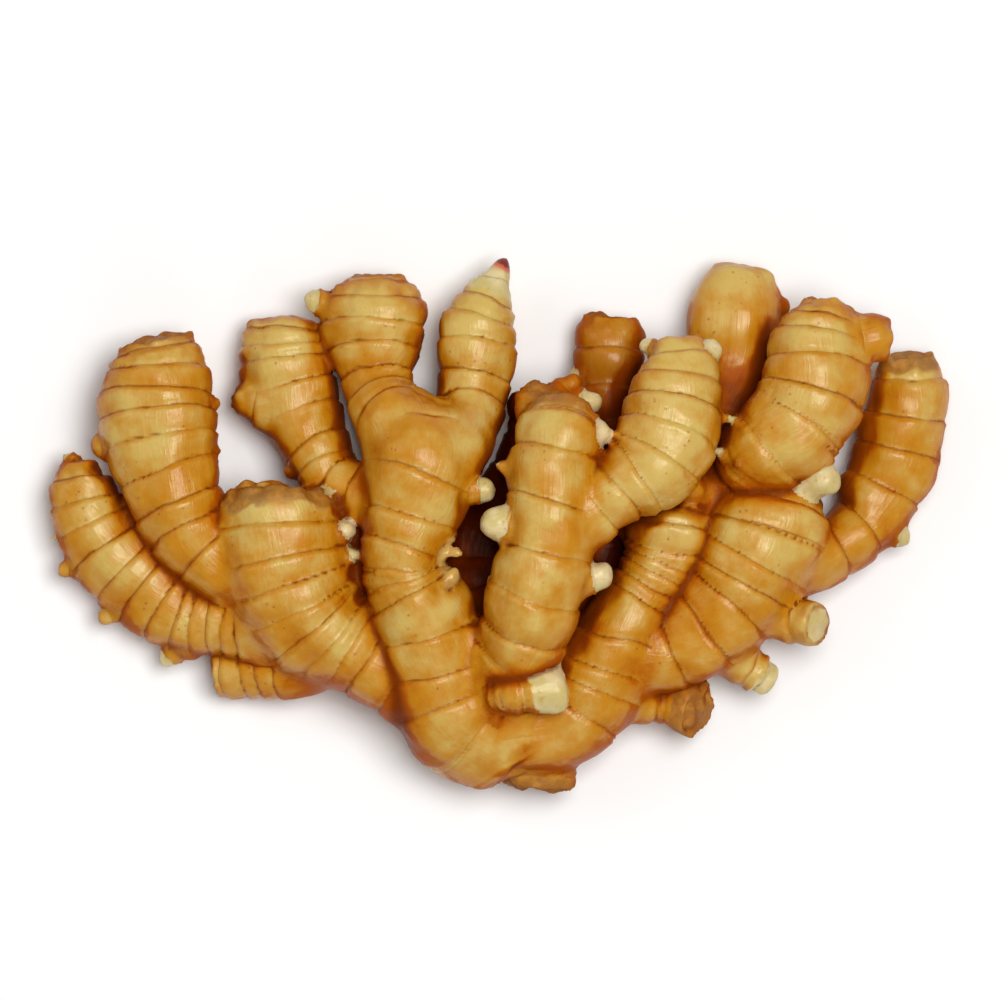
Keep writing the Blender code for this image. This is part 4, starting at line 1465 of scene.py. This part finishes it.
@dataclass(frozen=True)
class GingerSkin:
    """Thin golden skin with brown growth rings, pale buds and scarred tips, and shade painted into its
    creases, hollows and flanks.

    Attributes:
        straw: the palest skin.
        ochre: the usual skin.
        amber: the warmest skin, also the painted shade on the flanks and between limbs.
        ring: the lines of the growth rings.
        crease: painted shade in the creases and depths between limbs.
        scar: old shoots' scars.
        scar_pale: dry flakes on the scars.
        bud: fresh buds.
        bud_green: the greener side of a bud.
        pink: the shoot's tip.
        pink_deep: its very point.
        gilt: the golden nub.
        shine: the tint of the highlights.
        roughness: how matt the skin is.
        line_share: how far a ring's line covers the skin.
        scar_share: how far a scar covers it.
        bud_share: how far a bud's finish covers it.
        speck_share: how far a speck covers it.
        shade_powers: how much faster than the painted shade each of red, green and blue falls.
        refraction: how strongly the waxy skin bends light.
        glow: share of the light that goes through the skin.
        glow_reach: how far each of red, green and blue goes, as a share of the depth.
        glow_depth: how far the light goes, in metres.
        bump_depth: height of the relief too fine for the mesh, in metres.
        patterns: how fine the patterns are.
        tones: what makes the skin warmer.
    """

    straw: Colour = (0.605, 0.425, 0.112, 1.0)
    ochre: Colour = (0.53, 0.215, 0.005, 1.0)
    amber: Colour = (0.40, 0.080, 0.001, 1.0)
    ring: Colour = (0.26, 0.062, 0.003, 1.0)
    crease: Colour = (0.17, 0.026, 0.001, 1.0)
    scar: Colour = (0.24, 0.070, 0.008, 1.0)
    scar_pale: Colour = (0.46, 0.19, 0.020, 1.0)
    bud: Colour = (0.71, 0.585, 0.32, 1.0)
    bud_green: Colour = (0.58, 0.47, 0.18, 1.0)
    pink: Colour = (0.58, 0.13, 0.07, 1.0)
    pink_deep: Colour = (0.20, 0.03, 0.03, 1.0)
    gilt: Colour = (0.56, 0.33, 0.08, 1.0)
    shine: Colour = (1.0, 0.94, 0.80, 1.0)
    roughness: float = 0.31
    line_share: float = 0.70
    scar_share: float = 0.72
    bud_share: float = 0.93
    speck_share: float = 0.55
    shade_powers: tuple[float, float, float] = (0.75, 1.1, 1.3)
    refraction: float = 1.46
    glow: float = 0.22
    glow_reach: tuple[float, float, float] = (1.0, 0.32, 0.06)
    glow_depth: float = 0.003
    bump_depth: float = 0.0004
    patterns: Patterns = Patterns()
    tones: Tone = Tone()

    def material(self) -> bpy.types.Material:
        """Builds the finish.

        Returns:
            The material.
        """
        material = bpy.data.materials.new(PIECE)
        n = Nodes(material)
        place = n.add("ShaderNodeTexCoord").outputs["Object"]
        phase, gap, arc = n.split("rings")
        crease, hollow, clear = n.split("marks")
        scar, pale, pink = n.split("tips")
        warmth, shade, gold = n.split("tints")
        scales = self.patterns
        clouds, mottle = n.noise(place, scales.clouds, 3.0), n.noise(place, scales.mottle, 5.0, 0.65)
        run = n.times(phase, 8.0)
        fibre = n.noise(n.join(n.times(arc, 1.25), n.times(run, 0.16), 0.0), 1.0, 3.0, 0.6)
        line, halo, lip = self.ring_lines(n, place, phase, gap, clear)
        internode = n.math("SUBTRACT", n.chance(n.math("FLOOR", phase)), 0.5)
        # The tone carries painted shade: the hollows and the flanks facing away from the light turn warmer
        # and darker.
        causes = {
            "limb": warmth, "clouds": clouds, "mottle": mottle, "internode": internode, "fibre": fibre,
            "hollow": hollow, "halo": halo, "lip": lip, "flank": self.flank(n),
        }
        tone = n.sum(
            *(n.times(cause, getattr(self.tones, name)) for name, cause in causes.items()), self.tones.even
        )

        skin = n.mix(n.ramp(tone, -0.35, 0.68), self.straw, self.ochre)
        skin = n.mix(n.ramp(tone, 0.50, 1.40), skin, self.amber)
        # Painted shade in the hollows between limbs.
        skin = n.mix(n.ramp(hollow, 0.40, 1.0, 0.0, 0.75), skin, self.crease)
        skin = n.mix(n.times(line, self.line_share), skin, self.ring)
        skin = n.mix(n.times(self.specks(n, place), self.speck_share), skin, self.ring)

        flaky = n.noise(place, scales.flakes, 4.0, 0.65)
        scarred = n.mix(
            n.ramp(n.noise(place, scales.grain, 4.0, 0.65), -0.10, 0.20), self.scar, self.scar_pale
        )
        scar_edge = n.ramp(n.sum(scar, n.times(n.noise(place, scales.grain, 4.0), 1.1)), 0.30, 0.80)
        skin = n.mix(n.times(scar_edge, self.scar_share), skin, scarred)
        fresh = n.mix(n.ramp(n.noise(place, scales.bud_clouds, 2.0), -0.12, 0.12), self.bud, self.bud_green)
        fresh = n.mix(n.ramp(flaky, 0.04, 0.22, 0.0, 0.45), fresh, self.scar_pale)
        bud_edge = n.ramp(n.sum(pale, n.times(mottle, 0.5)), 0.35, 0.65)
        skin = n.mix(n.times(bud_edge, self.bud_share), skin, fresh)
        skin = n.mix(n.times(line, pale, 0.5), skin, self.scar)
        blush = n.mix(n.ramp(pink, 0.85, 1.0), self.pink, self.pink_deep)
        skin = n.mix(n.ramp(pink, 0.1, 0.8), skin, blush)
        skin = n.mix(gold, skin, self.gilt)
        # Painted shade in the creases.
        skin = n.mix(n.ramp(crease, 0.08, 0.9, 0.0, 0.85), skin, self.crease)

        # Relief too fine for the mesh: fibres, pores, wrinkles, the rings' lines and flaking scars.
        wrinkle = n.noise(n.join(n.times(arc, 0.4), n.times(run, 1.1), 0.0), 1.0, 3.0)
        height = n.sum(
            n.times(fibre, 0.55),
            n.times(n.noise(place, scales.pores, 3.0), 0.10),
            n.times(wrinkle, 0.15),
            n.times(line, -0.6),
            n.times(scar_edge, flaky, 1.6),
            n.times(pale, n.noise(place, scales.bud_grain, 3.0), 0.8),
        )
        matt = n.sum(
            n.times(mottle, 0.25), n.times(n.math("MAXIMUM", line, scar_edge), 0.25), self.roughness
        )
        # Less reflection in the painted shade and the warmest skin.
        dull = n.math("MAXIMUM", n.math("MAXIMUM", crease, hollow), n.ramp(tone, 0.55, 1.15, 0.0, 0.70))
        # The base colour is dimmed by each limb's painted shade.
        n.shade({
            "Base Color": self.shaded(n, skin, shade),
            "Roughness": n.math("SUBTRACT", matt, n.times(gold, 0.2)),
            "IOR": self.refraction,
            "Specular IOR Level": n.ramp(dull, 0.15, 0.75, 0.44, 0.04),
            "Specular Tint": self.shine,
            "Subsurface Weight": self.glow,
            "Subsurface Radius": self.glow_reach,
            "Subsurface Scale": self.glow_depth,
            "Normal": self.bumps(n, height),
        })
        return material

    def ring_lines(
        self,
        n: Nodes,
        place: bpy.types.NodeSocket,
        phase: bpy.types.NodeSocket,
        gap: bpy.types.NodeSocket,
        clear: bpy.types.NodeSocket,
    ) -> tuple[bpy.types.NodeSocket, ...]:
        """The rings' lines, which stray a little and have each their own strength.

        Args:
            n: the material's nodes.
            place: the point.
            phase: rings passed, with the share of the internode.
            gap: length of the internode.
            clear: 1 clear of a joint.

        Returns:
            The line on each ring, the halo short of it and the lip past it.
        """
        stray = n.math("DIVIDE", n.times(n.noise(place, self.patterns.stray, 3.0), 0.55), gap)
        strayed = n.sum(phase, stray)
        share = n.math("FRACT", strayed)
        since = n.times(share, gap)
        until = n.times(n.math("SUBTRACT", 1.0, share), gap)
        number = n.math("FLOOR", n.sum(strayed, 0.5))
        strength = n.times(clear, n.sum(n.times(n.chance(number), 0.85), 0.08))
        patchy = n.ramp(n.noise(place, self.patterns.patches, 3.0), -0.16, 0.06, 0.40, 1.0)
        line = n.times(n.ramp(n.math("MINIMUM", since, until), 0.06, 0.34, 1.0, 0.0), patchy, strength)
        halo = n.times(n.ramp(until, 0.0, 1.5, 1.0, 0.0), strength)
        lip = n.times(n.ramp(since, 0.3, 1.5, 1.0, 0.0), clear)
        return line, halo, lip

    def flank(self, n: Nodes) -> bpy.types.NodeSocket:
        """Painted light and shade: 0 where the skin faces up, 1 where it faces sideways or down."""
        facing = n.add("ShaderNodeSeparateXYZ")
        n.feed(facing.inputs[0], n.add("ShaderNodeNewGeometry").outputs["Normal"])
        return n.ramp(facing.outputs["Z"], 0.98, 0.15)

    def specks(self, n: Nodes, place: bpy.types.NodeSocket) -> bpy.types.NodeSocket:
        """Brown specks, in loose patches."""
        dots = n.add("ShaderNodeTexVoronoi", feature="F1")
        n.feed(dots.inputs["Vector"], place)
        n.feed(dots.inputs["Scale"], self.patterns.dots)
        there = n.ramp(n.noise(place, self.patterns.dot_patches, 2.0), 0.04, 0.14)
        return n.times(n.ramp(dots.outputs["Distance"], 0.08, 0.22, 1.0, 0.0), there)

    def shaded(self, n: Nodes, skin: object, shade: object) -> bpy.types.NodeSocket:
        """The skin's colour dimmed by its painted shade, which keeps the red and loses the blue."""
        dimmed = n.add("ShaderNodeVectorMath", operation="MULTIPLY")
        n.feed(dimmed.inputs[0], skin)
        n.feed(dimmed.inputs[1], n.join(*(n.math("POWER", shade, power) for power in self.shade_powers)))
        return dimmed.outputs[0]

    def bumps(self, n: Nodes, height: bpy.types.NodeSocket) -> bpy.types.NodeSocket:
        """The direction that the skin faces with its finest relief."""
        bump = n.add("ShaderNodeBump")
        n.feed(bump.inputs["Strength"], 0.7)
        n.feed(bump.inputs["Distance"], self.bump_depth)
        n.feed(bump.inputs["Height"], height)
        return bump.outputs["Normal"]


@dataclass(frozen=True)
class Lamp:
    """A square lamp that faces the root.

    Attributes:
        name: what it is called.
        place: where it is, in metres.
        size: its side, in metres.
        power: its power, in watts.
    """

    name: str
    place: tuple[float, float, float]
    size: float
    power: float

    def build(self, target: Vector) -> None:
        """Adds the lamp, turned towards a point in metres."""
        data = bpy.data.lights.new(self.name, "AREA")
        data.shape = "SQUARE"
        data.size = self.size
        data.energy = self.power
        lamp = bpy.data.objects.new(self.name, data)
        lamp.location = self.place
        lamp.rotation_euler = (Vector(self.place) - target).to_track_quat("Z", "Y").to_euler()
        bpy.context.scene.collection.objects.link(lamp)


@dataclass
class Studio:
    """A pale floor, soft light and a camera that looks straight down.

    Attributes:
        frame_width: width that the camera sees on the object, in metres.
        camera_height: height of the camera over the table, in metres.
        look_at: the point under the camera, in metres.
        aim_height: height that the lamps and the lens are set for, in metres.
        floor_reach: distance from the middle of the floor to its sides, in metres.
        floor_colour: the floor.
        sky: brightness of the even surround.
        backdrop: brightness of the surround where it is seen.
        lamps: the lamps.
    """

    frame_width: float = 0.223
    camera_height: float = 2.8
    look_at: tuple[float, float] = (0.0003, 0.0054)
    aim_height: float = 0.02
    floor_reach: float = 6.0
    floor_colour: Colour = (0.93, 0.93, 0.92, 1.0)
    sky: float = 0.21
    backdrop: float = 0.93
    lamps: tuple[Lamp, ...] = (
        Lamp("key", (0.30, 0.14, 1.52), 0.72, 21.0),
        Lamp("fill_left", (-1.3, 0.6, 1.2), 1.0, 4.5),
        Lamp("fill_front", (0.2, -1.5, 1.2), 1.0, 3.0),
    )

    def build(self) -> None:
        """Makes the floor, the lights and the camera."""
        self.floor()
        for lamp in self.lamps:
            lamp.build(Vector((0, 0, self.aim_height)))
        self.world()
        self.camera()

    def floor(self) -> None:
        """A wide pale floor."""
        mesh = bpy.data.meshes.new("floor")
        side = self.floor_reach
        corners = [(-side, -side, 0), (side, -side, 0), (side, side, 0), (-side, side, 0)]
        mesh.from_pydata(corners, [], [(0, 1, 2, 3)])
        floor = bpy.data.objects.new("floor", mesh)
        bpy.context.scene.collection.objects.link(floor)
        material = bpy.data.materials.new("pale_floor")
        Nodes(material).shade({"Base Color": self.floor_colour, "Roughness": 0.9})
        mesh.materials.append(material)

    def world(self) -> None:
        """An even white surround, brighter where it is seen than where it lights."""
        world = bpy.data.worlds.new("studio")
        world.use_nodes = True
        tree = world.node_tree
        surround = tree.nodes["Background"]
        surround.inputs["Color"].default_value = (1.0, 1.0, 1.0, 1.0)
        seen = tree.nodes.new("ShaderNodeLightPath").outputs["Is Camera Ray"]
        level = tree.nodes.new("ShaderNodeMapRange")
        level.inputs["To Min"].default_value = self.sky
        level.inputs["To Max"].default_value = self.backdrop
        tree.links.new(seen, level.inputs["Value"])
        tree.links.new(level.outputs["Result"], surround.inputs["Strength"])
        bpy.context.scene.world = world
        bpy.context.scene.view_settings.view_transform = "Standard"

    def camera(self) -> None:
        """A long lens over the root."""
        data = bpy.data.cameras.new("camera")
        data.sensor_width = 36.0
        data.lens = data.sensor_width * (self.camera_height - self.aim_height) / self.frame_width
        data.clip_end = 30.0
        camera = bpy.data.objects.new("camera", data)
        camera.location = (*self.look_at, self.camera_height)
        bpy.context.scene.collection.objects.link(camera)
        bpy.context.scene.camera = camera


def middle_of_volume(mesh: bpy.types.Mesh) -> np.ndarray:
    """Middle of the space that a closed mesh holds, in millimetres.

    Args:
        mesh: the closed mesh.

    Returns:
        The place.
    """
    mesh.calc_loop_triangles()
    corners = np.empty(len(mesh.loop_triangles) * 3, np.int32)
    mesh.loop_triangles.foreach_get("vertices", corners)
    a, b, c = read_points(mesh)[corners.reshape(-1, 3).T]
    volume = (a * np.cross(b, c)).sum(1)
    return ((a + b + c) * volume[:, None]).sum(0) / (4 * volume.sum())


def settle_on_table(obj: bpy.types.Object, bedding: float = 0.45) -> None:
    """Moves the skin to where the frame's own root stands, and presses it flat where it rests.

    Args:
        obj: the skin.
        bedding: how deep it is pressed flat, in millimetres.
    """
    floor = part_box(NODE)[0][2] / MM
    points = read_points(obj.data)
    shift = middle_of_volume(bpy.data.objects[NODE].data) - middle_of_volume(obj.data)
    shift[2] = floor - points[:, 2].min() - bedding
    points += shift
    points[:, 2] = np.maximum(points[:, 2], floor)
    write_points(obj.data, points)


def main() -> None:
    """Builds the root and the studio, and ties the root to the frame."""
    logging.basicConfig(level=logging.INFO, format="%(message)s")
    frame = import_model()
    LOG.info("frame: %s", ", ".join(frame["nodes"]))
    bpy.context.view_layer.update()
    root = Rhizome()
    root.grow()
    LOG.info("stems: %d", len(root.stems))
    grain = FULL_GRAIN
    obj = root.fuse(root.loft(), grain)
    LOG.info("skin: %d points", len(obj.data.vertices))
    Skin(root, obj, grain).settle()
    settle_on_table(obj)
    obj.data.shade_smooth()
    obj.data.materials.clear()
    obj.data.materials.append(GingerSkin().material())
    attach(obj, BODY)
    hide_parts(NODE)
    LOG.info("%s: done", PIECE)
    Studio().build()
    LOG.info("studio: done")


if __name__ == "__main__":
    main()
